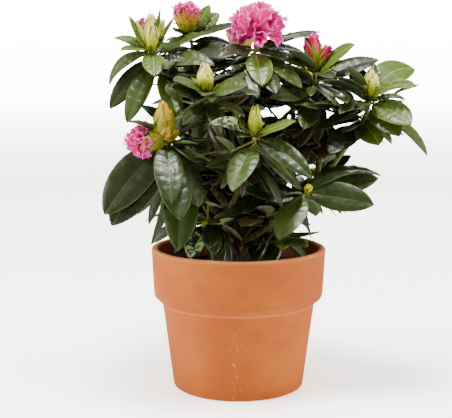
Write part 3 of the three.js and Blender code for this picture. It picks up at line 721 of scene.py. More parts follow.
# A floret's rings: share of its length, radius where its mouth is FLARE_MOUTH wide, and finish.
FLARE = [(0.0, 1.4, DEEP), (0.25, 2.1, DEEP), (0.48, 3.7, DEEP), (0.66, 6.0, DEEP), (0.8, 8.6, PINK),
         (0.9, 10.8, PINK), (0.97, 12.4, PINK), (1.0, 13.8, LIGHT)]
FLARE_MOUTH = 13.0
FLORET_POINTS = 35
STAMENS = 6


def add_floret(joined, base, out, length, mouth, draw, stamens=True):
    """A ruffled, five-lobed funnel flower, with its stamens."""
    out = unit(out)
    across = unit(np.cross(out, [0.3, 0.2, 1.0] if abs(out[2]) < 0.9 else [1.0, 0, 0]))
    other = np.cross(out, across)
    turn, phase, second = draw(0, 6.28), draw(0, 6.28), draw(0, 6.28)
    lean = (draw(-0.22, 0.22), draw(-0.22, 0.22))
    sizes, rolls = [draw(0.55, 1.3) for _ in range(5)], [draw(-0.5, 3.4) for _ in range(5)]
    around = FLORET_POINTS
    points, finishes = [], []
    for i, (share, radius, tone) in enumerate(FLARE):
        spread = max(0.0, (share - 0.55) / 0.45)
        for k in range(around):
            a = 2 * math.pi * k / around
            lobe = int(round(5 * k / around)) % 5
            middle = math.cos(5 * a)
            full = 1 + spread * (0.2 * middle * sizes[lobe] - 0.05)
            ruffle = spread * spread * (1.5 * math.sin(14 * a + phase) + 1.3 * math.sin(9 * a + second))
            r = radius * mouth / FLARE_MOUTH * full
            h = share * length + ruffle * mouth / 11 - spread ** 2 * rolls[lobe] * (1 + middle) * 0.7
            axis = out * h + across * lean[0] * h * spread + other * lean[1] * h * spread
            points.append(base + axis + (across * math.cos(a + turn) + other * math.sin(a + turn)) * r)
        if i:
            finishes += [LIGHT if tone == PINK and draw(0, 1) < 0.16 else tone for _ in range(around)]
    faces = ring_faces(len(FLARE), around, end_cap=False)
    joined.add(points, faces, finishes + [DEEP])
    if not stamens:
        return
    for k in range(STAMENS):
        a = turn + k * 1.05 + draw(-0.3, 0.3)
        away = across * math.cos(a) + other * math.sin(a)
        reach = length * draw(0.92, 1.12)
        line = [base + out * reach * q + away * (1.0 + 3.6 * q * q) for q in (0.5, 0.75, 1.0)]
        tube_points, tube_faces = tube(line, (0.34, 0.3, 0.26), 4)
        joined.add(tube_points, tube_faces, FILAMENT)
        end = line[-1]
        anther = [end - out * 0.5, end + out * 0.4, end + out * 1.3]
        tube_points, tube_faces = tube(anther, (0.3, 0.62, 0.3), 5)
        joined.add(tube_points, tube_faces, ANTHER)


# ---------------------------------------------------------------- tools for finishes

NOISE_LOW, NOISE_HIGH = 0.3, 0.7  # most of a noise's values lie between these


def group(name, inputs, outputs):
    """A new shader node group with its named sockets."""
    tree = bpy.data.node_groups.new(name, "ShaderNodeTree")
    for label, kind, value in inputs:
        socket = tree.interface.new_socket(label, in_out="INPUT", socket_type=kind)
        socket.default_value = value
    for label, kind in outputs:
        tree.interface.new_socket(label, in_out="OUTPUT", socket_type=kind)
    return tree, tree.nodes.new("NodeGroupInput"), tree.nodes.new("NodeGroupOutput")


def node(tree, kind, **values):
    made = tree.nodes.new(kind)
    for key, value in values.items():
        setattr(made, key, value)
    return made


def grain_group():
    """Fine grain: an uneven height and a mask, at a scale in grains per metre."""
    tree, into, out = group(
        "fine grain",
        [("Scale", "NodeSocketFloat", 600.0), ("Patch", "NodeSocketFloat", 30.0)],
        [("Height", "NodeSocketFloat"), ("Mask", "NodeSocketFloat")],
    )
    place = node(tree, "ShaderNodeTexCoord")
    fine = node(tree, "ShaderNodeTexNoise")
    fine.inputs["Detail"].default_value = 4
    wide = node(tree, "ShaderNodeTexNoise")
    wide.inputs["Detail"].default_value = 3
    tree.links.new(place.outputs["Object"], fine.inputs["Vector"])
    tree.links.new(place.outputs["Object"], wide.inputs["Vector"])
    tree.links.new(into.outputs["Scale"], fine.inputs["Scale"])
    tree.links.new(into.outputs["Patch"], wide.inputs["Scale"])
    tree.links.new(fine.outputs["Fac"], out.inputs["Height"])
    tree.links.new(wide.outputs["Fac"], out.inputs["Mask"])
    return tree


def spread_group():
    """A mask stretched between two values, for uneven gloss."""
    tree, into, out = group(
        "uneven gloss",
        [("Mask", "NodeSocketFloat", 0.5), ("Low", "NodeSocketFloat", 0.3),
         ("High", "NodeSocketFloat", 0.5)],
        [("Roughness", "NodeSocketFloat")],
    )
    stretch = node(tree, "ShaderNodeMapRange")
    stretch.inputs["From Min"].default_value = NOISE_LOW
    stretch.inputs["From Max"].default_value = NOISE_HIGH
    for socket, target in (("Mask", "Value"), ("Low", "To Min"), ("High", "To Max")):
        tree.links.new(into.outputs[socket], stretch.inputs[target])
    tree.links.new(stretch.outputs["Result"], out.inputs["Roughness"])
    return tree


GRAIN = grain_group()
GLOSS = spread_group()


def linear(red, green, blue):
    """A colour given in the usual 0 to 255 steps, as the shader wants it."""
    def channel(c):
        return (c / 255 / 12.92) if c <= 10 else ((c / 255 + 0.055) / 1.055) ** 2.4

    return channel(red), channel(green), channel(blue), 1.0


def new_material(name):
    material = bpy.data.materials.new(name)
    material.use_nodes = True
    tree = material.node_tree
    return material, tree, tree.nodes["Principled BSDF"]


def ramp(tree, value, low, high, start, end):
    """A value stretched from `low`..`high` to `start`..`end`."""
    stretch = node(tree, "ShaderNodeMapRange")
    for socket, number in (("From Min", low), ("From Max", high), ("To Min", start), ("To Max", end)):
        stretch.inputs[socket].default_value = number
    tree.links.new(value, stretch.inputs["Value"])
    return stretch.outputs["Result"]


def mixed(tree, factor, under, over):
    """One colour laid over another by a factor. Each is a plain value or comes from a node."""
    mix = node(tree, "ShaderNodeMix", data_type="RGBA")
    for label, value in (("Factor", factor), ("A", under), ("B", over)):
        if isinstance(value, (tuple, int, float)):
            mix.inputs[label].default_value = value
        else:
            tree.links.new(value, mix.inputs[label])
    return mix.outputs["Result"]


def grain_nodes(tree, shader, scale, patch, relief, distance, low, high):
    """Fine relief on the surface and uneven gloss, from the shared groups."""
    grain = node(tree, "ShaderNodeGroup", node_tree=GRAIN)
    grain.inputs["Scale"].default_value = scale
    grain.inputs["Patch"].default_value = patch
    gloss = node(tree, "ShaderNodeGroup", node_tree=GLOSS)
    gloss.inputs["Low"].default_value = low
    gloss.inputs["High"].default_value = high
    bump = node(tree, "ShaderNodeBump")
    bump.inputs["Strength"].default_value = relief
    bump.inputs["Distance"].default_value = distance
    tree.links.new(grain.outputs["Height"], bump.inputs["Height"])
    tree.links.new(bump.outputs["Normal"], shader.inputs["Normal"])
    tree.links.new(grain.outputs["Mask"], gloss.inputs["Mask"])
    tree.links.new(gloss.outputs["Roughness"], shader.inputs["Roughness"])
    return grain


def plain_growth(name, colour, gloss=(0.4, 0.6), relief=0.3, glow=0.0, scale=900.0, depth=0.6):
    """A leaf, bud or petal finish: one plain colour, with grain `depth` millimetres deep."""
    material, tree, shader = new_material(name)
    shader.inputs["Base Color"].default_value = linear(*colour)
    shader.inputs["Subsurface Weight"].default_value = glow
    shader.inputs["Subsurface Radius"].default_value = (0.004, 0.003, 0.001)
    low, high = gloss
    grain_nodes(tree, shader, scale=scale, patch=60.0, relief=relief, distance=depth * MM,
                low=low, high=high)
    return material


# ---------------------------------------------------------------- finishes

LEAF_TONES = {
    # "shade" is painted shade: a dull brown for the leaves deep in the crown, where the shadow falls.
    "shade": (66, 54, 26),
    "dark": (34, 45, 5),
    "deep": (43, 57, 7),
    "mid": (64, 81, 20),
    "fresh": (80, 102, 26),
    "young": (76, 102, 2),
    "pale": (152, 174, 106),
}
LEAF_GRAIN = {"gloss": (0.26, 0.46), "relief": 1.0, "scale": 170.0, "depth": 0.6}
YOUNG_GRAIN = {"gloss": (0.5, 0.68), "relief": 1.0, "scale": 190.0, "depth": 0.7}

BUD_TONES = {
    "brown": (128, 76, 16),
    "olive": (150, 144, 10),
    "green": (170, 180, 16),
    "amber": (204, 162, 12),
    "cream": (226, 220, 60),
    "pale": (244, 240, 140),
    "blush": (244, 76, 130),
    "hot": (220, 4, 92),
}

CLAY = (188, 90, 18)
CLAY_LIGHT = (200, 106, 28)
CLAY_DEEP = (174, 76, 14)
# A pale clay for the painted highlights under the collar and on the lip.
CLAY_HIGHLIGHT = (230, 150, 84)
# The inside of the wall: darker near the soil, lighter higher up.
CLAY_INSIDE_LOW = (92, 50, 30)
CLAY_INSIDE_HIGH = (182, 100, 54)
CLAY_BLOOM = (238, 206, 178)
CLAY_SPECK = (96, 48, 30)
# Strengths of the deep patches, the wheel rings, the painted highlight under the collar, the painted
# highlight on the lip, the bloom and the specks.
DEEP_PATCHES, WHEEL_RINGS, EDGE_HIGHLIGHT_STRENGTH, LIP_HIGHLIGHT_STRENGTH, BLOOM, SPECKS = 0.35, 0.16, 0.42, 0.65, 0.26, 0.8

# Where the clay changes, in metres above the ground. The painted highlight under the collar begins, is
# full, is full still and ends. The painted highlight on the lip begins and is full. The inside of the wall
# begins to lighten from its darker colour near the soil, and is light.
COLLAR_EDGE_HIGHLIGHT = (0.1062, 0.1076, 0.109, 0.1104)
LIP_HIGHLIGHT_HEIGHTS = (0.1725, 0.1762)
INSIDE_DARKENING = (0.146, 0.172)

OLD_BARK = ((74, 48, 36), (128, 86, 66))
YOUNG_BARK = ((92, 88, 42), (132, 126, 62))
MOIST_SOIL = ((34, 24, 18), (74, 54, 40))


def leaf_finishes():
    made = {tone: plain_growth(f"leaf {tone}", colour, **LEAF_GRAIN)
            for tone, colour in LEAF_TONES.items() if tone != "young"}
    made["young"] = plain_growth("young leaf", LEAF_TONES["young"], **YOUNG_GRAIN)
    made["rib"] = plain_growth("leaf rib", (66, 84, 36), gloss=(0.35, 0.45))
    made["rim"] = plain_growth("leaf rim", (84, 104, 46), gloss=(0.35, 0.45))
    made["young rib"] = plain_growth("young leaf rib", (160, 172, 70), gloss=(0.4, 0.5))
    made["underside"] = plain_growth("leaf underside", (84, 98, 52), gloss=(0.55, 0.7))
    made["stalk"] = plain_growth("leaf stalk", (124, 132, 44), gloss=(0.45, 0.6))
    return made


def terracotta():
    """Fired clay: soft patches, painted highlights under the collar and on the lip, the inside darker near
    the soil, mineral bloom and specks.
    """
    material, tree, shader = new_material("terracotta")
    grain = grain_nodes(tree, shader, scale=1100.0, patch=11.0, relief=0.32, distance=0.0006,
                        low=0.78, high=0.92)
    place = node(tree, "ShaderNodeTexCoord")
    parts = node(tree, "ShaderNodeSeparateXYZ")
    tree.links.new(place.outputs["Object"], parts.inputs["Vector"])

    def between(value, low, high):
        stretch = node(tree, "ShaderNodeMapRange", interpolation_type="SMOOTHSTEP")
        stretch.inputs["From Min"].default_value = low
        stretch.inputs["From Max"].default_value = high
        tree.links.new(value, stretch.inputs["Value"])
        return stretch.outputs["Result"]

    def sums(kind, first, second):
        made = node(tree, "ShaderNodeMath", operation=kind)
        for socket, value in zip(made.inputs, (first, second)):
            if isinstance(value, (int, float)):
                socket.default_value = value
            else:
                tree.links.new(value, socket)
        return made.outputs["Value"]

    def noise(scale, detail=3.0, stretch=None):
        made = node(tree, "ShaderNodeTexNoise")
        made.inputs["Scale"].default_value = scale
        made.inputs["Detail"].default_value = detail
        if stretch:
            mapping = node(tree, "ShaderNodeMapping")
            mapping.inputs["Scale"].default_value = stretch
            tree.links.new(place.outputs["Object"], mapping.inputs["Vector"])
            tree.links.new(mapping.outputs["Vector"], made.inputs["Vector"])
        else:
            tree.links.new(place.outputs["Object"], made.inputs["Vector"])
        return made.outputs["Fac"]

    x, y, z = (parts.outputs[axis] for axis in "XYZ")
    radius = sums("SQRT", sums("ADD", sums("MULTIPLY", x, x), sums("MULTIPLY", y, y)), 0.0)

    # The body: soft patches, deeper ones, and the faint rings of the wheel.
    clay = mixed(tree, between(grain.outputs["Mask"], 0.35, 0.65), linear(*CLAY), linear(*CLAY_LIGHT))
    patches = sums("MULTIPLY", between(noise(38.0), 0.5, 0.75), DEEP_PATCHES)
    clay = mixed(tree, patches, clay, linear(*CLAY_DEEP))
    turning = between(noise(60.0, 2.0, (0.15, 0.15, 9.0)), 0.4, 0.7)
    clay = mixed(tree, sums("MULTIPLY", turning, WHEEL_RINGS), clay, linear(*CLAY_DEEP))

    # Painted highlights: a pale band along the edge under the collar, and a paler lip.
    begins, full, full_still, ends = COLLAR_EDGE_HIGHLIGHT
    edge_highlight = sums("MULTIPLY", between(z, begins, full), between(z, ends, full_still))
    clay = mixed(tree, sums("MULTIPLY", edge_highlight, EDGE_HIGHLIGHT_STRENGTH), clay, linear(*CLAY_HIGHLIGHT))
    lip = sums("MULTIPLY", between(z, *LIP_HIGHLIGHT_HEIGHTS), LIP_HIGHLIGHT_STRENGTH)
    clay = mixed(tree, lip, clay, linear(*CLAY_HIGHLIGHT))

    # The inside of the wall, darker near the soil.
    slope = (POT_RIM - POT_FOOT) / (POT_HEIGHT - POT_FLOOR)
    wall = sums("ADD", sums("MULTIPLY", z, slope), (POT_FOOT - POT_WALL - slope * POT_FLOOR + 2.0) * MM)
    inside = sums("MULTIPLY", sums("LESS_THAN", radius, wall), between(z, 0.1755, 0.168))
    inside_colour = mixed(tree, between(z, *INSIDE_DARKENING), linear(*CLAY_INSIDE_LOW), linear(*CLAY_INSIDE_HIGH))
    clay = mixed(tree, sums("MULTIPLY", inside, sums("GREATER_THAN", z, 0.012)), clay, inside_colour)

    # A faint band of bloom down the front, and dark specks all over.
    front = between(y, -0.06, -0.085)
    band = sums("MULTIPLY", between(x, -0.019, -0.009), between(x, 0.006, -0.004))
    flecks = between(noise(330.0, 3.0, (1.0, 1.0, 0.35)), 0.56, 0.7)
    streaks = sums("MULTIPLY", flecks, between(z, 0.104, 0.09))
    bloom = sums("MULTIPLY", sums("MULTIPLY", front, band), sums("MULTIPLY", streaks, BLOOM))
    clay = mixed(tree, bloom, clay, linear(*CLAY_BLOOM))
    specks = sums("MULTIPLY", between(noise(420.0, 1.0), 0.74, 0.79), SPECKS)
    clay = mixed(tree, specks, clay, linear(*CLAY_SPECK))
    tree.links.new(clay, shader.inputs["Base Color"])
    return material


def bark():
    """Bark: red brown and flaking on the old wood, olive green on the young, by the piece's own age."""
    material, tree, shader = new_material("bark")
    grain_nodes(tree, shader, scale=700.0, patch=90.0, relief=0.5, distance=0.0008, low=0.6, high=0.85)
    place = node(tree, "ShaderNodeTexCoord")
    noise = node(tree, "ShaderNodeTexNoise")
    noise.inputs["Scale"].default_value = 160
    tree.links.new(place.outputs["Object"], noise.inputs["Vector"])
    flakes = ramp(tree, noise.outputs["Fac"], 0.35, 0.65, 0.0, 1.0)
    old = mixed(tree, flakes, linear(*OLD_BARK[0]), linear(*OLD_BARK[1]))
    young = mixed(tree, flakes, linear(*YOUNG_BARK[0]), linear(*YOUNG_BARK[1]))
    age = node(tree, "ShaderNodeAttribute", attribute_name="age")
    tree.links.new(mixed(tree, age.outputs["Fac"], young, old), shader.inputs["Base Color"])
    return material


def earth():
    """Moist potting soil."""
    material, tree, shader = new_material("earth")
    grain = grain_nodes(tree, shader, scale=420.0, patch=70.0, relief=0.9, distance=0.002,
                        low=0.8, high=0.98)
    soil_colour = mixed(tree, grain.outputs["Mask"], linear(*MOIST_SOIL[0]), linear(*MOIST_SOIL[1]))
    tree.links.new(soil_colour, shader.inputs["Base Color"])
    return material


# ---------------------------------------------------------------- pot, soil and wood, shaped by hand


def only(piece=None):
    """Nothing selected but this piece."""
    bpy.ops.object.select_all(action="DESELECT")
    if piece:
        piece.select_set(True)
        bpy.context.view_layer.objects.active = piece


def apply_modifier(piece, kind, **values):
    only(piece)
    modifier = piece.modifiers.new(kind.title(), kind)
    for key, value in values.items():
        setattr(modifier, key, value)
    bpy.ops.object.modifier_apply(modifier=modifier.name)


def lumps(name, size):
    texture = bpy.data.textures.new(name, "CLOUDS")
    texture.noise_scale = size
    return texture


def settle(piece, name):
    """Names a finished piece and puts its place into its mesh."""
    only(piece)
    bpy.ops.object.transform_apply(location=True, rotation=True, scale=True)
    piece.name = name
    piece.data.name = name


def rounded(corner_from, corner, corner_to, size, steps=4):
    """Points of a rounded corner of a profile."""
    a, b, c = (np.array(p, float) for p in (corner_from, corner, corner_to))
    start, end = b + unit(a - b) * size, b + unit(c - b) * size
    return [tuple((1 - t) ** 2 * start + 2 * (1 - t) * t * b + t * t * end)
            for t in (i / steps for i in range(steps + 1))]


CORNER_ROUNDING = (0, 3.0, 4.5, 3.4, 3.6, 3.2, 6.0, 0)  # from the foot up the outside and down to the floor
WALL_RINGS = (20, 40, 60, 80, 95, 130, 145, 160)  # heights where the wall is cut, to take its unevenness
POT_SIDES = 128
SOIL_SIDES = 96
SOIL_INSET = 0.9
SOIL_RINGS = 22
SOIL_RING = 4.0


def pot_profile():
    """[radius, height] from the foot up the outside, over the lip and down to the floor inside."""
    inner_top = (POT_RIM - POT_WALL, POT_HEIGHT)
    inner_low = (POT_FOOT - POT_WALL, POT_FLOOR)
    collar = (COLLAR_FOOT[0] - 0.2, COLLAR_FOOT[1] - 1)
    corners = [(0, 0), (POT_FOOT, 0), SHOULDER_FOOT, collar, (POT_RIM, POT_HEIGHT), inner_top, inner_low,
               (0, POT_FLOOR)]
    profile = []
    for i in range(1, len(corners) - 1):
        profile += rounded(corners[i - 1], corners[i], corners[i + 1], CORNER_ROUNDING[i])
    return profile


def make_pot():
    only()
    profile = pot_profile()
    radius, height = profile[0][0] * MM, profile[0][1] * MM
    bpy.ops.mesh.primitive_circle_add(vertices=POT_SIDES, radius=radius, fill_type="NGON",
                                      location=(0, 0, height))
    pot = bpy.context.object
    bpy.ops.object.mode_set(mode="EDIT")
    bpy.ops.mesh.select_all(action="SELECT")
    for wide, high in profile[1:]:
        wide, high = wide * MM, high * MM
        bpy.ops.mesh.extrude_region_move(TRANSFORM_OT_translate={"value": (0, 0, high - height)})
        factor = wide / radius
        bpy.ops.transform.resize(value=(factor, factor, 1), center_override=(0, 0, high))
        radius, height = wide, high
    for level in WALL_RINGS:
        bpy.ops.mesh.select_all(action="SELECT")
        bpy.ops.mesh.bisect(plane_co=(0, 0, level * MM), plane_no=(0, 0, 1))
    bpy.ops.mesh.select_all(action="SELECT")
    bpy.ops.mesh.normals_make_consistent(inside=False)
    bpy.ops.object.mode_set(mode="OBJECT")
    apply_modifier(pot, "DISPLACE", texture=lumps("pot unevenness", 0.06), strength=0.0009,
                   texture_coords="LOCAL")
    for vertex in pot.data.vertices:
        vertex.co.z = max(vertex.co.z, 0.0)
    only(pot)
    bpy.ops.object.shade_smooth_by_angle(angle=math.radians(35))
    settle(pot, "clay_pot")
    return pot


def make_soil():
    only()
    inset = (POT_RIM - POT_FOOT) * (POT_HEIGHT - SOIL_TOP) / (POT_HEIGHT - POT_FLOOR)
    top, bottom = POT_RIM - POT_WALL - inset - SOIL_INSET, POT_FOOT - POT_WALL - SOIL_INSET
    depth = SOIL_TOP - POT_FLOOR - GAP
    bpy.ops.mesh.primitive_cone_add(vertices=SOIL_SIDES, radius1=bottom * MM, radius2=top * MM,
                                    depth=depth * MM, location=(0, 0, (SOIL_TOP - depth / 2) * MM))
    soil = bpy.context.object
    bpy.ops.object.mode_set(mode="EDIT")
    bpy.ops.mesh.select_mode(type="FACE")
    bpy.ops.mesh.select_all(action="DESELECT")
    bpy.ops.object.mode_set(mode="OBJECT")
    lid = max(soil.data.polygons, key=lambda face: face.center.z)
    lid.select = True
    bpy.ops.object.mode_set(mode="EDIT")
    for _ in range(SOIL_RINGS):
        bpy.ops.mesh.inset(thickness=SOIL_RING * MM, depth=0)
    bpy.ops.mesh.poke()
    bpy.ops.object.mode_set(mode="OBJECT")
    crust = soil.vertex_groups.new(name="crust")
    level = max(v.co.z for v in soil.data.vertices)
    edge = top * MM * 0.99
    crust.add([v.index for v in soil.data.vertices
               if v.co.z > level - 1e-5 and math.hypot(v.co.x, v.co.y) < edge], 1.0, "ADD")
    apply_modifier(soil, "DISPLACE", texture=lumps("soil clods", 0.012), strength=0.006, mid_level=0.62,
                   direction="Z", texture_coords="GLOBAL", vertex_group="crust")
    apply_modifier(soil, "DISPLACE", texture=lumps("soil crumbs", 0.004), strength=0.003, mid_level=0.6,
                   direction="Z", texture_coords="GLOBAL", vertex_group="crust")
    only(soil)
    bpy.ops.object.shade_smooth_by_angle(angle=math.radians(50))
    settle(soil, "potting_soil")
    return soil


LIMB_STEPS = 26
KNUCKLES = 4
KNUCKLE_SWELL = 0.16  # as a share of the bough's radius
KNUCKLE_REACH = 0.022  # as a share of the bough's length
WOOD_GRAIN = 0.00085  # the size of the cells that the one skin is built from, in metres

# Bark is old below a height and on thick limbs, and turns young over a way. The height is in metres.
OLD_BELOW, OLD_HEIGHT_WAY = 0.235, 0.05
OLD_RADIUS, OLD_RADIUS_WAY = 3.4, 2.0


def limb_knuckles(t, seed):
    """Small swellings along a bough, where old leaves stood."""
    swell = 0.0
    for k in range(KNUCKLES):
        place = 0.12 + 0.24 * k + 0.03 * math.sin(seed * 7 + k * 3)
        swell += KNUCKLE_SWELL * math.exp(-(((t - place) / KNUCKLE_REACH) ** 2))
    return swell


def share_of_way(value, start, way):
    return min(1.0, max(0.0, (value - start) / way))


def make_wood(limbs):
    """Trunk and boughs grown together in one skin with the bark's relief."""
    only()
    lengths = []
    for index, limb in enumerate(limbs.values()):
        bpy.ops.curve.primitive_nurbs_path_add(location=(0, 0, 0))
        path = bpy.context.object
        path.data.splines.clear()
        spline = path.data.splines.new("POLY")
        spline.points.add(LIMB_STEPS)
        for i in range(LIMB_STEPS + 1):
            t = i / LIMB_STEPS
            x, y, z = limb.point(t) * MM
            swell = limb_knuckles(t, index) if index else 0
            spline.points[i].co = (x, y, z, 1)
            spline.points[i].radius = limb.radius_at(t) * (1 + swell) * MM
        path.data.bevel_depth = 1.0
        path.data.bevel_resolution = 3
        path.data.use_fill_caps = True
        only(path)
        bpy.ops.object.convert(target="MESH")
        lengths.append(bpy.context.object)
    only(lengths[0])
    for length in lengths:
        length.select_set(True)
    bpy.ops.object.join()
    wood = lengths[0]
    apply_modifier(wood, "REMESH", mode="VOXEL", voxel_size=WOOD_GRAIN)
    apply_modifier(wood, "SMOOTH", factor=0.5, iterations=3)
    for name, size, strength in (("bark ridges", 0.0045, 0.0013), ("bark flakes", 0.0016, 0.0006)):
        apply_modifier(wood, "DISPLACE", texture=lumps(name, size), strength=strength,
                       texture_coords="LOCAL")
    samples = [(limb.point(i / 30) * MM, limb.radius_at(i / 30))
               for limb in limbs.values() for i in range(31)]
    tree = KDTree(len(samples))
    for i, (place, _) in enumerate(samples):
        tree.insert(place, i)
    tree.balance()
    ages = []
    for vertex in wood.data.vertices:
        radius = samples[tree.find(vertex.co)[1]][1]
        low = share_of_way(OLD_BELOW, vertex.co.z, OLD_HEIGHT_WAY)
        ages.append(share_of_way(radius, OLD_RADIUS, OLD_RADIUS_WAY) * 0.6 + 0.4 * low)
    wood.data.attributes.new("age", "FLOAT", "POINT").data.foreach_set("value", ages)
    only(wood)
    bpy.ops.object.shade_smooth()
    settle(wood, "wood_and_bark")
    return wood


# ---------------------------------------------------------------- growing the crown

CAMERA_PLACE = (-0.01572, -1.2912, 0.4025)
CAMERA_PITCH = 82.15
CAMERA_LENS = 82.47
CAMERA_SENSOR = 36
FRAME_SIZE = (452, 418)

# How finer growth is tried. "share" runs up the bough to 1 and on up its stem to 2, and "slender" is the
# width of a leaf as a share of its length. Leaves that start deep in the crown take the painted shade of the
# "shade" tone.
FINER_TWIGS = {"tries": 16, "share": (0.3, 1.9), "pitch": (-25, 55), "length": (22, 48), "radius": 1.25,
               "leaves": 6, "shaded_below": 1.2}
TWIG_LEAVES = {"length": (36, 64), "pitch": (-50, 26), "slender": (0.33, 0.42), "roll": (-25, 25),
               "bend": (5, 30)}
FINER_LEAVES = {"tries": 90, "down": (3, 60), "length": (34, 66), "pitch": (-72, 20),
                "slender": (0.34, 0.42), "roll": (-25, 25), "bend": (8, 30), "shaded_under": 18}
SHADE_LEAVES = {"tries": 200, "share": (0.2, 1.8), "length": (44, 74), "pitch": (-78, 10),
                "slender": (0.38, 0.48), "roll": (-45, 45), "bend": (5, 25)}
SHADE_HEART = (24, 30, 290)
SHADE_REACH = (136, 76, 122)

# The small narrow leaves round the buds. Those towards the front lie lower and are shorter, off the buds.
BRACTS = {"count": 11, "budded_from": 25, "length": (20, 36), "pitch": (30, 64), "slender": (0.2, 0.3),
          "roll": (-40, 40), "bend": (-5, 30), "front_share": 0.75, "front_lower": 34, "young": 0.75}

# The room that a bud, a bud that is open, and the truss keep round them.
BUD_ROOM = 1
OPEN_BUD_ROOM = 12
TRUSS_ROOM = (40, 30)

# How far from its stem's tip growth may reach, and how clear it stays of the soil, the rim and the box.
REACH = 125
OVER_SOIL = 3
OVER_RIM = 4
INSIDE_RIM = 8
PAST_BOX = 0.003  # in metres

TIP_NEAR = 1.2  # a leaf whose tip is this near to a point of the solid is one of the solid's leaves

# Openings of the crown that stay clear, seen from the front: [across, down, half size] in the frame.
OPENINGS = [
    (153, 91, 7), (250, 48, 4), (267, 90, 2.5), (281, 113, 5), (291, 114, 5), (265, 114, 3),
    (303, 132, 1.5), (340, 124, 4), (330, 117, 3.5), (356, 114, 3), (360, 150, 9), (278, 183, 2.5),
    (290, 186.5, 3), (297, 188.5, 2.5), (312, 174, 4), (323, 186, 5), (331, 181, 4), (267, 224, 4),
    (300, 229, 4.5), (215, 192, 2.5), (222, 228, 2.5), (394, 160, 9), (140, 228, 5), (350, 230, 12),
    (116, 80, 4), (128, 70, 3.5), (138, 63, 2.5), (222, 36, 2), (318, 218, 9), (320, 209, 3.5),
    (145, 212, 4), (243, 88, 2), (264, 74, 2),
]


def in_frame(point):
    """Where a point falls in the frame, across and down."""
    pitch = math.radians(90 - CAMERA_PITCH)
    x, y, z = (p * MM - c for p, c in zip(point, CAMERA_PLACE))
    depth = y * math.cos(pitch) - z * math.sin(pitch)
    rise = y * math.sin(pitch) + z * math.cos(pitch)
    focal = CAMERA_LENS / CAMERA_SENSOR * FRAME_SIZE[0]
    return FRAME_SIZE[0] / 2 + focal * x / depth, FRAME_SIZE[1] / 2 - focal * rise / depth


def bars_opening(points):
    """Whether a leaf or twig, by its sketch, crosses an opening of the crown."""
    points = [np.array(point) for point in points]
    between = [(a + b) / 2 for a, b in zip(points, points[3:])]
    for point in points + between:
        across, down = in_frame(point)
        if any((across - u) ** 2 + (down - v) ** 2 < (size + 0.4) ** 2 for u, v, size in OPENINGS):
            return True
    return False


class Crown:
    """What has grown so far, for keeping what follows clear of it."""

    def __init__(self):
        self.kept = []

    def clear(self, points, faces):
        low = np.min(points, axis=0)
        high = np.max(points, axis=0)
        near = [tree for tree, l, h in self.kept if (l <= high).all() and (low <= h).all()]
        if not near:
            return True
        own = BVHTree.FromPolygons(points, faces)
        return not any(own.overlap(tree) for tree in near)

    def keep(self, points, faces):
        tree = BVHTree.FromPolygons(points, faces)
        self.kept.append((tree, np.min(points, axis=0), np.max(points, axis=0)))


def limb_sketch(limb, steps=6):
    centres = [limb.point(i / steps) for i in range(steps + 1)]
    points, faces = tube(centres, [limb.radius_at(i / steps) for i in range(steps + 1)], 6)
    return [Vector(p) for p in points], faces


def stem_tube(limb, draw):
    """A young stem, with small swellings where leaves stand."""
    steps = max(4, int(limb.length / 3.5))
    centres, radii = [], []
    for i in range(steps + 1):
        centres.append(limb.point(i / steps))
        radii.append(limb.radius_at(i / steps) * (1 + draw(-0.07, 0.12)))
    centres[0] = centres[0] - limb.tangent(0) * 2.0
    radii[-1] *= 0.6
    return tube(centres, radii, 8)


def tip_found(tips, leaf):
    """Whether the solid has this leaf: its tip goes straight on from the last station of its outline."""
    last = leaf_spine(leaf, (0.12, 0.4, 0.76))[-1][0]
    end = last + heading(leaf["bearing"], leaf["pitch"] - leaf["bend"] / 2) * (leaf["length"] * 0.24)
    return tips.find(Vector(end * MM))[2] < TIP_NEAR * MM


def solid_tips(name):
    """The points of a mass's solid, where its leaves' tips are looked up."""
    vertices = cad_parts[f"foliage_{name}"].data.vertices
    tree = KDTree(len(vertices))
    for i, vertex in enumerate(vertices):
        tree.insert(vertex.co, i)
    tree.balance()
    return tree


def grow_like_solids(stems, crown):
    """The leaves and twigs that the solids have, with the later leaves between them."""
    leaves, twigs = [], []
    for name, mass in MASSES.items():
        tips = solid_tips(name)
        for k, row in enumerate(mass["leaves"]):
            leaf = leaf_from(stems[name], row, mass=name, fine=True)
            leaf["tone"] = "young" if k in YOUNG.get(name, ()) else TONES.get(name, {}).get(k)
            leaf["crinkle"] = CRINKLE if k in CRINKLED.get(name, ()) else 0.0
            if tip_found(tips, leaf):
                leaf.update(FULLER.get(name, {}).get(k, {}))
                leaves.append(leaf)
        leaves += [leaf_from(stems[name], row, mass=name, fine=True) for row in LATER.get(name, [])]
        for twig, grown in seeded_growth(mass, stems[name]):
            grown = [dict(leaf, mass=name) for leaf in grown if tip_found(tips, leaf)]
            leaves += grown
            if twig and grown:
                twigs.append(twig)
                crown.keep(*limb_sketch(twig))
    for leaf in leaves:
        crown.keep(*leaf_sketch(leaf))
    return leaves, twigs


def keep_room_for_flowers(stems, crown):
    """Keeps finer growth off the buds and the truss."""
    for name, mass in MASSES.items():
        for k, (bearing, pitch, length, radius) in enumerate(mass["buds"]):
            room = OPEN_BUD_ROOM if OPENING.get(name, {}).get(k) == 1 else BUD_ROOM
            crown.keep(*bud_sketch(stems[name].point(1), bearing, pitch, length, radius + room))
    height, radius = TRUSS_ROOM
    crown.keep(*bud_sketch(stems["top"].point(1), 0, 90, TRUSS["seat"] + height, radius))


def up_the_shoot(bough, stem, share):
    """A point on a bough, for shares up to 1, or on the stem that goes on from it."""
    return bough.point(share) if share < 1 else stem.point(share - 1)


def drawn_row(draw, down, bearing, length, rule):
    """A leaf's row whose pitch, width, roll and bend are drawn by a rule."""
    return [down, bearing, draw(*rule["pitch"]), length, length * draw(*rule["slender"]),
            draw(*rule["roll"]), draw(*rule["bend"])]


